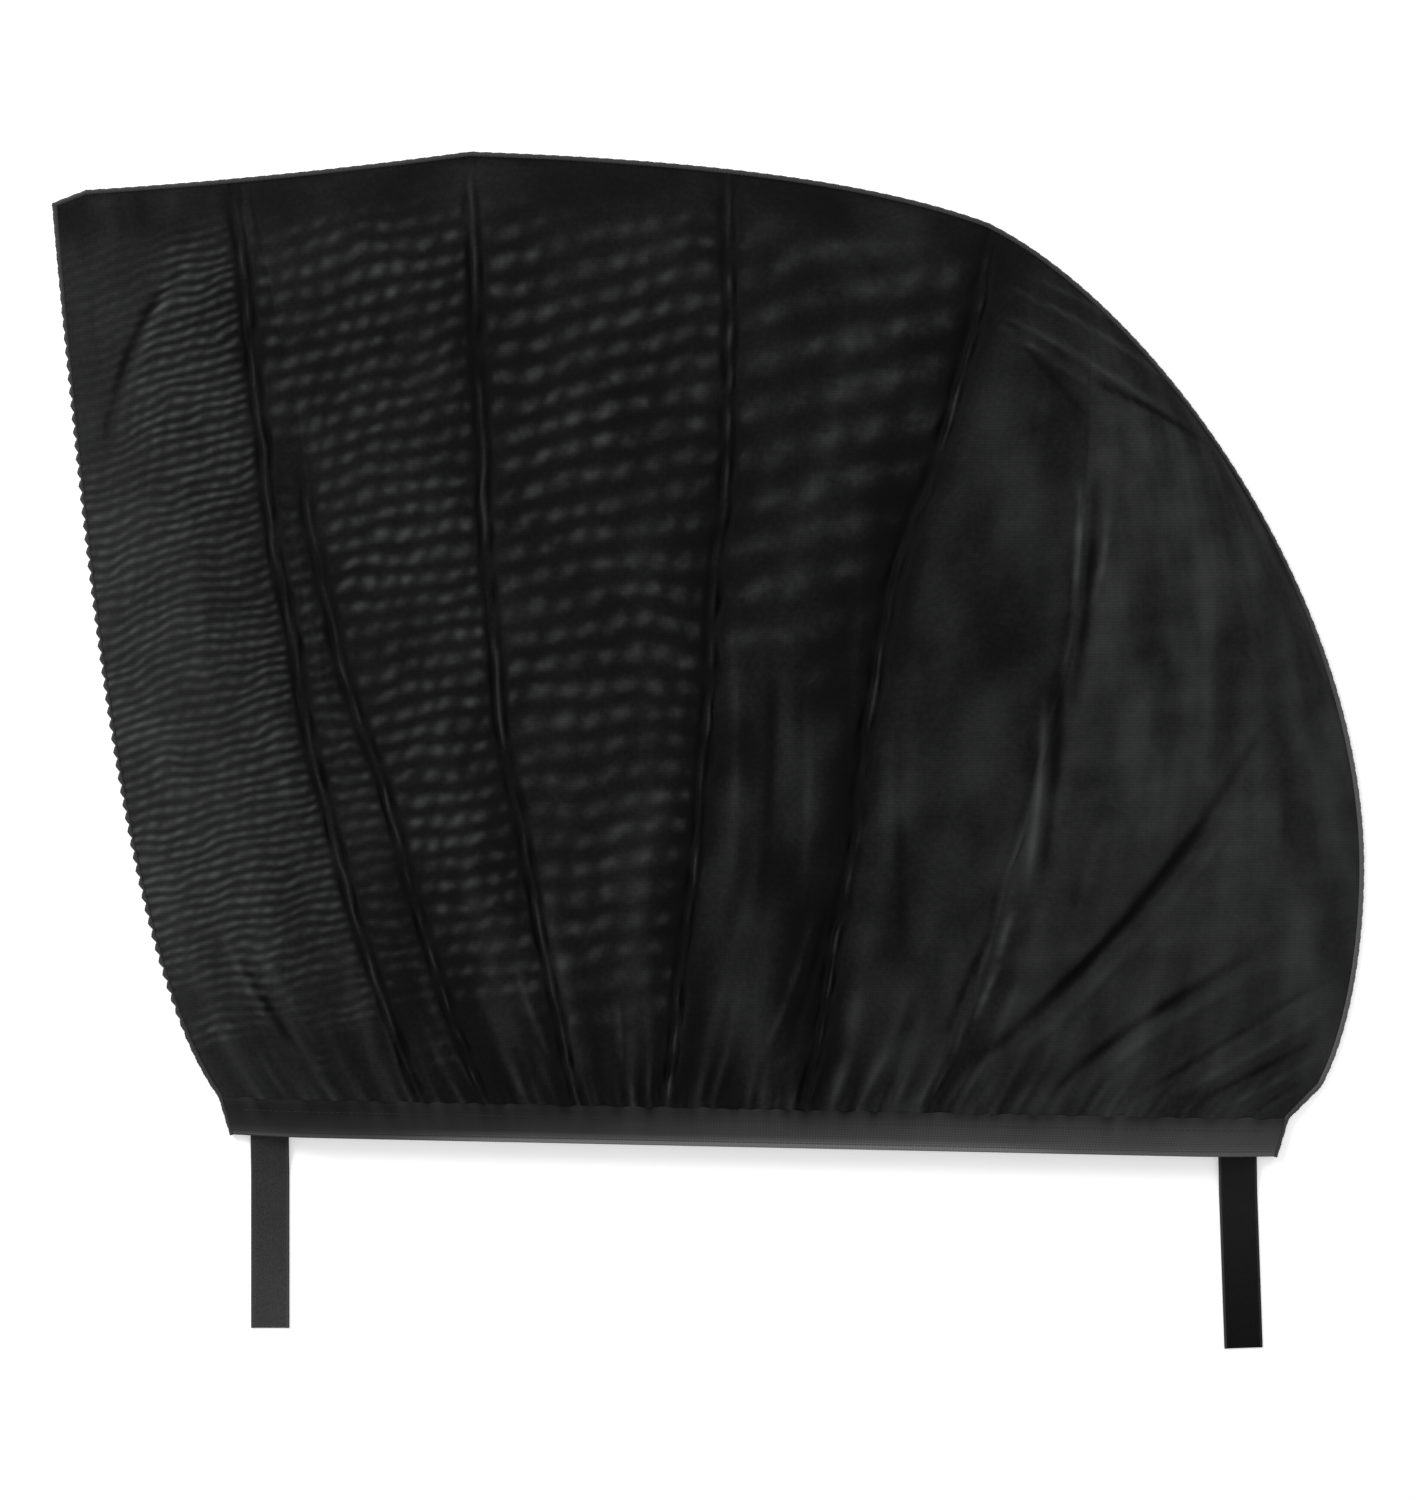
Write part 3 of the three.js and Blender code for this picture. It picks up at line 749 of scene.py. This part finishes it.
def folded_cloth(across, up, start, xy):
    """The front panel's folds."""
    rng = np.random.default_rng(SEED)
    relief = Relief(across.shape)
    add_creases(relief, across, up, rng)
    add_puckers(relief, start, up, rng)
    add_streaks(relief, start, up, rng)
    add_folds(relief, xy)
    add_patches(relief, xy)
    rise = up * CORNER_RISE
    ripple = 0.5 * MM * uneven(xy, 90 * MM, rng) + 0.16 * MM * uneven(xy, 20 * MM, rng)
    relief.add(ripple * smooth(rise, 0, 30 * MM), 0)
    relief.height *= lerp(0.22, 1.0, smooth(rise, 0, 6 * MM))
    return relief


FRONT_REST = POCKET_TOP + 1.4 * MM
DEEPEST_VALLEY = POCKET_TOP - 1.5 * MM
BAY_SWELL = 4.2 * MM


def front_heights(across, up, relief):
    """Underside of the front panel."""
    closed = back_underside(up) + FABRIC + CLEARANCE
    swell = BAY_SWELL * bay_swell(across, up) * smooth(up * CORNER_RISE, 0, 110 * MM)
    opened = FRONT_REST + swell + relief.height
    return lerp(closed, np.maximum(opened, DEEPEST_VALLEY), puff(across, up))


BAY_MIDDLES = [-10, 80, 112, 212, 330, 420, 500]  # in mm from the lower left end of the hem
SECOND_CREASE_END = 0.7  # above it the bay before the second crease is one with the bay after it
FAR_AWAY = 9


def beat_fields(across, up, xy):
    """Phases, separateness and strength of the light spots, bay by bay."""
    rng = np.random.default_rng(SEED + 1)
    places = np.stack([crease_place(*crease[:3], up) for crease in MAIN_CREASES])
    bay = (across[None] > places).sum(0)
    beside = bay == 1
    bay = np.where(beside & (up > SECOND_CREASE_END), 2, bay)
    places[1] = np.where(up > SECOND_CREASE_END, FAR_AWAY, places[1])
    x, y = xy[..., 0] - ORIGIN[0], xy[..., 1] - ORIGIN[1]
    middles = np.array(BAY_MIDDLES) * MM
    aside = x - middles[bay]
    slope = lerp(0.10, 0.26, np.clip(y / (480 * MM), 0, 1)) + np.where(bay == 0, 0.08, 0)
    kink = np.where(bay == 3, 2.0 * np.maximum(aside + 8 * MM, 0) * bell(y - 250 * MM, 48 * MM), 0)
    warp = uneven(xy, 70 * MM, rng) * 1.2 * MM + uneven(xy, 22 * MM, rng) * 0.6 * MM
    pitch_x, pitch_y, spots, power = (np.array(column)[bay] for column in zip(*BEATS))
    beat_up = (y - slope * aside + slope * kink + warp) / (pitch_y * MM)
    beat_across = (x - 0.24 * y + uneven(xy, 60 * MM, rng) * 1.4 * MM) / (pitch_x * MM)
    fade_top = 1 - smooth(up, 0.91, 0.97)
    torn = y + uneven(xy, 34 * MM, rng) * 11 * MM - 0.1 * aside
    fade_hem = smooth(torn, 44 * MM, 92 * MM)
    fade_low = np.where(bay == 4, smooth(torn, 225 * MM, 305 * MM), 1)
    corner = np.where(bay == 0, smooth(x - 0.25 * (y - 400 * MM), -52 * MM, -40 * MM), 1)
    corner = np.where(y < 350 * MM, 1, corner)
    change = np.abs(up - SECOND_CREASE_END + 0.06 * across)
    fade_low = np.where(beside, smooth(change, 0, 0.06), fade_low)
    nearest = np.abs(across[None] - places).min(0) * HEM_LENGTH
    shade = smooth(nearest, 2.5 * MM, 6.5 * MM)
    strength = power * fade_top * fade_hem * fade_low * shade * lerp(0.25, 1, corner)
    return beat_across, beat_up, spots, strength


# How pale the cloth is from left to right along the hem
PALENESS = (
    (0, 0.10, 0.19, 0.30, 0.42, 0.50, 0.56, 0.64, 0.72, 1),
    (0.03, -0.02, -0.10, -0.165, -0.165, -0.13, -0.06, 0.03, 0.09, 0.12),
)


def paleness(across, up, start):
    """The cloth is painted paler towards its sides, and darker along the top and the hem."""
    rise = up * CORNER_RISE
    left = 0.10 * np.exp(-across * HEM_LENGTH / (45 * MM)) * (1 - smooth(up, 0.6, 0.85))
    right = 0.08 * np.exp(-(1 - across) * HEM_LENGTH / (30 * MM)) * (1 - smooth(up, 0.55, 0.9))
    side = np.interp(start, *PALENESS) * (1 - 0.7 * smooth(up, 0.86, 0.97))
    gathered = 0.05 * bell(rise - 52 * MM, 36 * MM)
    gathered *= smooth(start, 0.12, 0.2) * (1 - smooth(start, 0.62, 0.7))
    top, hem = smooth(up, 0.9, 0.97), 1 - smooth(rise, 0, 45 * MM)
    return side + left + right + gathered - 0.10 * top + 0.01 * hem


# How much of the folds' painted light and shade shows on each panel, and how strong the light spots are
# on the back one
FOLD_SHARE = 0.30
BACK_FOLD_SHARE = 0.25
BACK_BEATS = 0.6


def blotches(across, up, start):
    """Long soft blotches where the cloth hangs loose, most of all right of the fourth crease."""
    rng = np.random.default_rng(SEED + 3)
    fan = np.stack([start * HEM_LENGTH * 1.15, up * CORNER_RISE * 0.42], axis=-1)
    field = uneven(fan, 40 * MM, rng) + 0.32 * uneven(fan, 13 * MM, rng)
    loose = smooth(across - crease_place(*MAIN_CREASES[4][:3], up), -0.02, 0.05)
    low_middle = smooth(across, 0.40, 0.46) * (1 - smooth(up, 0.4, 0.6))
    share = np.maximum(loose, low_middle) * (1 - smooth(up, 0.88, 0.97))
    top_strip = smooth(up, 0.9, 0.97) * (1 - smooth(up, 0.985, 1))
    return 0.075 * np.clip(field, -1.2, 2.4) * (share + 0.8 * top_strip)


def dress(piece, fields, tone, chosen):
    """Gives a panel its light spots and its painted light and shade, on the underside at the chosen
    places alone.
    """
    names = ("beat_across", "beat_up", "beat_spots", "beat_strength", "tone")
    for name, field in zip(names, (*fields, tone)):
        add_attribute(piece, name, np.concatenate([field.ravel(), field[chosen].ravel()]))


def front_panel():
    across, up, start = sheet_grid(columns=448, rows=187, crowding=1.3, closeness=1.6)
    xy, across, up, start = with_margin(across, up, start, np.array([2.0, 8.0, 14.0]) * MM)
    relief = folded_cloth(across, up, start, xy)
    under = front_heights(across, up, relief)
    upper = lifted(xy, under + FABRIC)
    points, faces, chosen = lined_sheet(upper, under, 3)
    piece = mesh_piece("front_mesh_panel", points, faces, MESH_FABRIC)
    # Painted light and shade of the folds, with the paleness and the blotches
    tone = FOLD_SHARE * relief.tone + paleness(across, up, start) + blotches(across, up, start)
    dress(piece, beat_fields(across, up, xy), tone, chosen)
    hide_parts("front_panel")
    return piece, area_of(xy)


def area_of(xy):
    """The area that a grid of places covers, seen from above."""
    a = xy[1:, 1:] - xy[:-1, :-1]
    b = xy[:-1, 1:] - xy[1:, :-1]
    return float(np.abs(a[..., 0] * b[..., 1] - a[..., 1] * b[..., 0]).sum() / 2)


def back_panel():
    across, up, start = sheet_grid(columns=170, rows=80, crowding=1.5, closeness=1.0)
    xy, across, up, start = with_margin(across, up, start, np.array([2.0, 11.0]) * MM)
    rng = np.random.default_rng(SEED + 2)
    relief = Relief(across.shape)
    add_puckers(relief, start, up, rng)
    add_streaks(relief, start, up, rng)
    waves = np.clip(relief.height * 0.5, 0, 0.9 * MM) * puff(across, up)
    under = back_underside(up) + waves * smooth(up * CORNER_RISE, 0, 8 * MM)
    lower = lifted(xy, under)
    points, faces = closed_sheet(lower + np.array([0, 0, FABRIC]), lower)
    piece = mesh_piece("back_mesh_panel", points, faces, MESH_FABRIC)
    *pattern, strength = beat_fields(across, up, xy)
    # Painted light and shade of the back panel's puckers and streaks, with the paleness
    tone = BACK_FOLD_SHARE * relief.tone + paleness(across, up, start)
    dress(piece, (*pattern, BACK_BEATS * strength), tone, slice(None))
    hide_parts("back_panel")
    return piece


# Seam

# The overlock threads pull small scallops into the left edge
SCALLOP_PITCH = 7 * MM
SCALLOP_DEPTH = 1.5 * MM
OVERLOCK_PITCH = 2.33 * MM
OVERLOCK_THREAD = 0.22 * MM
THREAD_SIDES = 4


def seam_height(share):
    along = np.minimum(share, 1 - share) * OUTLINE.length
    near_hem = 1 - smooth(along, HEM_HEIGHT, HEM_HEIGHT + HEM_RAMP)
    return lerp(SEAM_HEIGHT, SEAM_HEM_HEIGHT, near_hem)


def scallop(share):
    """How far the seam is drawn in."""
    along = share * OUTLINE.length
    wave_in = (0.5 - 0.5 * np.cos(2 * math.pi * along / SCALLOP_PITCH)) ** 1.5
    left = smooth(along, 40 * MM, 90 * MM) * (1 - smooth(along, 380 * MM, 480 * MM))
    return SCALLOP_DEPTH * wave_in * (0.16 + 0.84 * left)


def seam_painted_highlight(share):
    """Painted highlight along the lower right of the seam, where its rim catches more light."""
    along = (1 - share) * OUTLINE.length
    return 0.12 + 0.75 * smooth(along, 20 * MM, 60 * MM) * (1 - smooth(along, 200 * MM, 330 * MM))


def tube(path, radius):
    """Points and faces of a thread along a path, closed at both ends."""
    path = np.asarray(path, float)
    along = np.gradient(path, axis=0)
    along /= np.linalg.norm(along, axis=1, keepdims=True)
    up = np.where(np.abs(along[:, 2:]) > 0.9, np.array([[1.0, 0, 0]]), np.array([[0, 0, 1.0]]))
    side = np.cross(along, up)
    side /= np.linalg.norm(side, axis=1, keepdims=True)
    other = np.cross(side, along)
    angle = np.arange(THREAD_SIDES) * 2 * math.pi / THREAD_SIDES
    ring = np.cos(angle)[None, :, None] * side[:, None] + np.sin(angle)[None, :, None] * other[:, None]
    return rings_mesh(path[:, None] + radius * ring)


def rings_mesh(rings):
    """Points and faces of a solid through rings of points, closed at both ends."""
    stations, sides = rings.shape[:2]
    faces = []
    for station in range(stations - 1):
        base = station * sides
        faces += [[base + k, base + sides + k, base + sides + (k + 1) % sides, base + (k + 1) % sides]
                  for k in range(sides)]
    faces.append(list(range(sides)))
    faces.append(list(range((stations - 1) * sides, stations * sides))[::-1])
    return rings.reshape(-1, 3), faces


def joined(name, parts, material):
    points, faces, start = [], [], 0
    for part_points, part_faces in parts:
        points.append(part_points)
        faces += [[index + start for index in face] for face in part_faces]
        start += len(part_points)
    return mesh_piece(name, np.concatenate(points), faces, material)


def edge_seam():
    """The folded edges of the cloth, with overlock threads wound round them."""
    stations, sides = 1500, 10
    share = np.linspace(0, 1, stations)[:, None]
    angle = (np.arange(sides) + 0.5)[None] * 2 * math.pi / sides
    half = math.cos(math.pi / sides)
    drawn = scallop(share)
    inset = SEAM_WIDTH / 2 * (1 - 0.86 * np.cos(angle) / half) + drawn * (0.5 + 0.5 * np.cos(angle))
    height = seam_height(share)
    base = OUTLINE.at(np.broadcast_to(share, inset.shape), inset)
    z = 0.06 * height + 0.45 * height * (1 + np.sin(angle) / half)
    points, faces = rings_mesh(lifted(base, z))
    core = mesh_piece("seam_fold", points, faces, SEAM_THREAD)
    # Painted highlight along the seam's lower right
    add_attribute(core, "painted_light_and_tone", np.repeat(seam_painted_highlight(share[:, 0]), sides))
    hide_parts("edge_seam")
    overlock_threads()


def overlock_threads():
    """One thread wound round the seam all the way."""
    turns, per_turn = int(OUTLINE.length / OVERLOCK_PITCH), 9
    t = np.arange(turns * per_turn + 1) / per_turn
    share = np.clip(t / turns, 0.0015, 0.9985)
    angle = 2 * math.pi * t
    height = seam_height(share)
    inset = SEAM_WIDTH / 2 * (1 - 0.94 * np.cos(angle)) + scallop(share) * (0.5 + 0.5 * np.cos(angle))
    base = OUTLINE.at(share, inset)
    z = height / 2 * (1 + 0.93 * np.sin(angle))
    points, faces = tube(lifted(base, z), OVERLOCK_THREAD)
    threads = mesh_piece("overlock_threads", points, faces, SEAM_THREAD)
    # Painted highlight along the seam's lower right, a little paler on the threads
    add_attribute(threads, "painted_light_and_tone", np.repeat(seam_painted_highlight(share) + 0.15, THREAD_SIDES))


# Hem

# Across the band from its lower edge: level, and how full its thickness is there
BAND_PROFILE = [
    (0.0, 0.30), (0.025, 0.72), (0.06, 0.95), (0.12, 1.0), (0.3, 0.92), (0.5, 0.90), (0.7, 0.92),
    (0.86, 0.88), (0.94, 0.62), (1.0, 0.12),
]
RIB_PITCH = 1.25 * MM
KNIT_PITCH = 1.5 * MM
STITCH_PITCH = 3.2 * MM
STITCH_THREAD = 0.14 * MM


def band_waves(across, level):
    """The elastic puckers a little where it draws the cloth in."""
    waves = np.sin(across * 2 * math.pi * 31 + 2.4 * np.sin(across * 37))
    waves *= 0.55 + 0.45 * np.sin(across * 53)
    waves += 0.4 * np.sin(across * 2 * math.pi * 67 + 2.0 * np.sin(across * 29))
    return 0.15 * MM * waves * (0.15 + 0.85 * level**2) * np.sin(math.pi * across) ** 0.4


def gathers(across):
    """How far each gather of the cloth bites into the top of the band, from 0 to 1."""
    waves = np.sin(across * 2 * math.pi * 23 + 2.2 * np.sin(across * 31))
    waves *= 0.6 + 0.4 * np.sin(across * 47)
    waves += 0.6 * np.sin(across * 2 * math.pi * 49 + 3.1 * np.sin(across * 23 + 1))
    return np.clip(0.5 + 0.3 * waves, 0, 1)


def band(name, underside, node, columns):
    """An elastic band with rolled edges, which follows the margin of its panel."""
    across = np.linspace(0, 1, columns)
    upper, lower, ribs, knit, painted_light_and_tone = [], [], [], [], []
    for level, full in BAND_PROFILE:
        bitten = 1.1 * MM * gathers(across) * smooth(level, 0.75, 1.0)
        xy = hem_point(across, level * HEM_HEIGHT - bitten)
        base = underside(across)
        top = base + BAND * full + band_waves(across, level) * full
        upper.append(lifted(xy, top))
        lower.append(lifted(xy, base + BAND * (1 - full) * 0.12))
        ribs.append(np.full(columns, level * HEM_HEIGHT / RIB_PITCH))
        knit.append(across * HEM_LENGTH / KNIT_PITCH)
        # Painted light on the band: a painted highlight along its rolled lower edge, a painted glow that
        # is brightest low down and to the right, painted shade where the gathers draw its top in, and
        # lighter wave crests.
        edge = 1.2 * bell(level - 0.05, 0.06) * (0.25 + 0.75 * smooth(across, 0.12, 0.3))
        edge *= 1 - 0.7 * smooth(across, 0.72, 0.82)
        painted_glow = 0.06 + 0.23 * smooth(across, 0.1, 0.75)
        painted_glow *= bell(np.maximum(0, level - 0.1), 0.42 + 0.5 * across)
        painted_glow *= 1 - 0.5 * smooth(level, 0.72, 1.0)
        painted_gather_shade = 0.08 * (gathers(across) - 0.5) * level**2
        painted_light_and_tone.append(0.01 + painted_glow + edge - painted_gather_shade + 0.1 * band_waves(across, level) / MM)
    points, faces = closed_sheet(np.stack(upper), np.stack(lower))
    piece = mesh_piece(name, points, faces, ELASTIC)
    for attribute, values in (("rib", ribs), ("knit", knit), ("painted_light_and_tone", painted_light_and_tone)):
        flat = np.stack(values).ravel()
        add_attribute(piece, attribute, np.concatenate([flat, flat]))
    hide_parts(node)


def front_band_underside(across):
    up = np.zeros_like(across)
    closed = back_underside(up) + FABRIC + CLEARANCE
    return lerp(closed, FRONT_REST, puff(across, up)) + FABRIC + CLEARANCE


def hem_stitches():
    """Two rows of short stitches along the front band."""
    parts, painted_light_and_tone = [], []
    count = int(HEM_LENGTH / STITCH_PITCH)
    for level, full in ((0.13, 1.0), (0.68, 0.92)):
        for i in range(3, count - 3):
            t = np.linspace(i + 0.12, i + 0.88, 6) / count
            rise = np.sin(np.linspace(0, math.pi, 6)) * 0.14 * MM
            xy = hem_point(t, np.full(6, level * HEM_HEIGHT))
            top = front_band_underside(t) + BAND * full + band_waves(t, level) * full
            z = top + rise - 0.08 * MM
            parts.append(tube(lifted(xy, z), STITCH_THREAD))
            # Painted glow on the stitches, brighter to the right and on the lower row, as on the band.
            painted_glow = 0.55 * smooth((i + 0.5) / count, 0.1, 0.75) * (1 - level) ** 2
            painted_light_and_tone += [painted_glow - 0.06] * len(parts[-1][0])
    piece = joined("front_hem_stitches", parts, SEAM_THREAD)
    add_attribute(piece, "painted_light_and_tone", painted_light_and_tone)


# Straps

STRAP_SEWN = 16 * MM
STRAP_DROP = 22 * MM
STRAP_WIDTH = 20 * MM
STRAP_THICKNESS = 1.2 * MM
SELVEDGE = 1.3 * MM
PILE_THREAD = 0.11 * MM
GROUND_CLOTH = 0.62  # share of the tape's thickness under its hooks or loops


class Tape:
    """A flat tape as long as its node and in its place, leaning by some degrees. Its shades say how pale
    Its shades give the paleness of its sewn and free ends, and selvedges how much paler its edges are."""

    def __init__(self, node, lean, shades, selvedges):
        self.node = node
        self.shades = shades
        self.selvedges = selvedges
        low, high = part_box(node)
        sine = math.sin(math.radians(lean))
        self.length = high.y - low.y - STRAP_WIDTH * sine
        self.direction = towards(lean - 90)
        self.side = np.array([self.direction[1], -self.direction[0]])
        middle = (low.x + high.x) / 2 - self.length * sine / 2
        self.top = np.array([middle, high.y - STRAP_WIDTH * sine / 2])
        self.sewn_height = high.z - STRAP_THICKNESS

    def at(self, along, aside, height):
        """Places along the tape, aside from its middle and above its underside."""
        along, aside, height = np.broadcast_arrays(along, aside, height)
        xy = self.top + along[..., None] * self.direction + aside[..., None] * self.side
        fall = 1 - smooth(along - STRAP_SEWN, 0, STRAP_DROP)
        return lifted(xy, self.sewn_height * fall + height)

    def selvedge_shade(self, aside, edge):
        """How much paler the woven selvedges are, one beside each long edge."""
        return np.where(edge < SELVEDGE, np.where(aside > 0, self.selvedges[0], self.selvedges[1]), 0)

    def body(self, name, material):
        shares = [0, .012, .03, .055, .075, .1, .3, .5, .7, .9, .925, .945, .97, .988, 1]
        aside = STRAP_WIDTH * (np.array(shares) - 0.5)
        edge = STRAP_WIDTH / 2 - np.abs(aside)
        rounded = edge < 0.3 * MM
        full = np.where(edge < SELVEDGE, 0.86, GROUND_CLOTH)
        full = np.where(rounded, 0.55, full)
        along = np.linspace(0, self.length, 200)[:, None]
        ribs = 0.05 * np.sin(along * 2 * math.pi / (2.1 * MM)) * (edge < SELVEDGE)
        upper = self.at(along, aside, STRAP_THICKNESS * (full + ribs))
        lower = self.at(along, aside, STRAP_THICKNESS * np.where(rounded, 0.15, 0.0))
        points, faces = closed_sheet(upper[:, ::-1], lower[:, ::-1])
        piece = mesh_piece(name, points, faces, material)
        painted_light_and_tone = np.linspace(*self.shades, len(along))[:, None] + self.selvedge_shade(aside, edge)
        add_attribute(piece, "painted_light_and_tone", np.concatenate([painted_light_and_tone[:, ::-1].ravel()] * 2))
        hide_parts(self.node)

    def pile(self, name, material, pitch, spread, shape, rng):
        """Rows of small hooks or loops on the tape's face."""
        parts, painted_light_and_tone = [], []
        rows = np.arange(STRAP_SEWN + 3 * MM, self.length - 1.5 * MM, pitch)
        room = STRAP_WIDTH / 2 - SELVEDGE
        columns = np.arange(-room + 1 * MM, room - 0.6 * MM, pitch)
        for row in rows:
            for column in columns:
                turn = rng.uniform(-spread, spread)
                size = rng.uniform(0.85, 1.15)
                lead = shape[:, 0] * size * MM
                path = self.at(row + lead * math.cos(turn) + rng.uniform(-0.2, 0.2) * MM,
                               column + lead * math.sin(turn) + rng.uniform(-0.2, 0.2) * MM,
                               STRAP_THICKNESS * GROUND_CLOTH - 0.1 * MM + shape[:, 1] * size * MM)
                parts.append(tube(path, PILE_THREAD))
                painted_light_and_tone += [lerp(*self.shades, row / self.length) + 0.04] * len(parts[-1][0])
        piece = joined(name, parts, material)
        add_attribute(piece, "painted_light_and_tone", painted_light_and_tone)


# The path of one hook and one loop, in mm along the tape and up
HOOK = np.array([(0, 0), (0, 0.35), (0.12, 0.62), (0.36, 0.7), (0.5, 0.5)])
LOOP = np.array([(-0.45, 0), (-0.4, 0.35), (0, 0.58), (0.4, 0.35), (0.45, 0)])


def straps():
    rng = np.random.default_rng(SEED + 4)
    left = Tape("left_strap", lean=0.0, shades=(-0.24, 0.26), selvedges=(0.1, 0.1))
    left.body("left_loop_strap", LOOP_TAPE)
    left.pile("left_strap_loops", LOOP_TAPE, 1.15 * MM, 3.1, LOOP, rng)
    right = Tape("right_strap", lean=2.0, shades=(0.21, -0.05), selvedges=(0.7, 0.3))
    right.body("right_hook_strap", HOOK_TAPE)
    right.pile("right_strap_hooks", HOOK_TAPE, 1.5 * MM, 0.3, HOOK, rng)


# Scene

GROUND_GLOW = 0.38


def floor_material():
    """White ground that keeps a soft shadow of the sleeve."""
    nodes = Nodes("white_ground")
    light_path = nodes.add("ShaderNodeLightPath")
    seen = nodes.times(light_path.outputs["Is Camera Ray"], GROUND_GLOW)
    return nodes.set(Base_Color=grey(0.86), Roughness=0.9, Specular_IOR_Level=0.1,
                     Emission_Color=grey(1.0), Emission_Strength=seen)


def floor():
    bpy.ops.mesh.primitive_plane_add(size=60, location=(0, 0, -0.05 * MM))
    ground = bpy.context.object
    ground.name = "ground"
    ground.data.materials.append(floor_material())


def area_light(name, place, size, power):
    data = bpy.data.lights.new(name, "AREA")
    data.shape = "RECTANGLE"
    data.size, data.size_y = size
    data.energy = power
    lamp = link(bpy.data.objects.new(name, data))
    lamp.location = place
    lamp.rotation_euler = (-Vector(place)).to_track_quat("-Z", "Y").to_euler()


WORLD_LIGHT = 0.62
FRAME_WIDE, FRAME_TALL = 1416, 1500
FRAME_MARGIN = 1.07


def lights():
    """A world that is white to the camera and dimmer as a light, and two lamps."""
    nodes = Nodes("studio", bpy.data.worlds, "Background")
    light_path = nodes.add("ShaderNodeLightPath")
    seen = light_path.outputs["Is Camera Ray"]
    for way in ("Is Glossy Ray", "Is Transmission Ray"):
        seen = nodes.math("MAXIMUM", seen, light_path.outputs[way])
    strength = nodes.math("MULTIPLY_ADD", seen, 1 - WORLD_LIGHT, WORLD_LIGHT)
    bpy.context.scene.world = nodes.set(Color=(1, 1, 1, 1), Strength=strength)
    area_light("key", (-2.0, 1.5, 1.5), (1.2, 1.2), 62)
    area_light("rim", (2.0, 1.6, 0.9), (1.6, 0.6), 14)


def camera():
    """Straight down, with a small margin round the sleeve."""
    data = bpy.data.cameras.new("camera")
    data.lens = 85
    data.sensor_width = 36
    centre = (cad_box[0] + cad_box[1]) / 2
    width = (cad_box[1] - cad_box[0]).x * FRAME_MARGIN
    tall = width * FRAME_TALL / FRAME_WIDE
    distance = tall / 2 / (data.sensor_width / 2 / data.lens)
    view = link(bpy.data.objects.new("camera", data))
    view.location = (centre.x, centre.y, cad_box[1].z + distance)
    bpy.context.scene.camera = view


front, front_area = front_panel()
back = back_panel()
edge_seam()
band("front_hem_band", front_band_underside, "front_hem_elastic", 900)
hem_stitches()
band("back_hem_band", np.zeros_like, "back_hem_elastic", 300)
straps()

floor()
lights()
camera()
bpy.context.scene.view_settings.view_transform = "Standard"
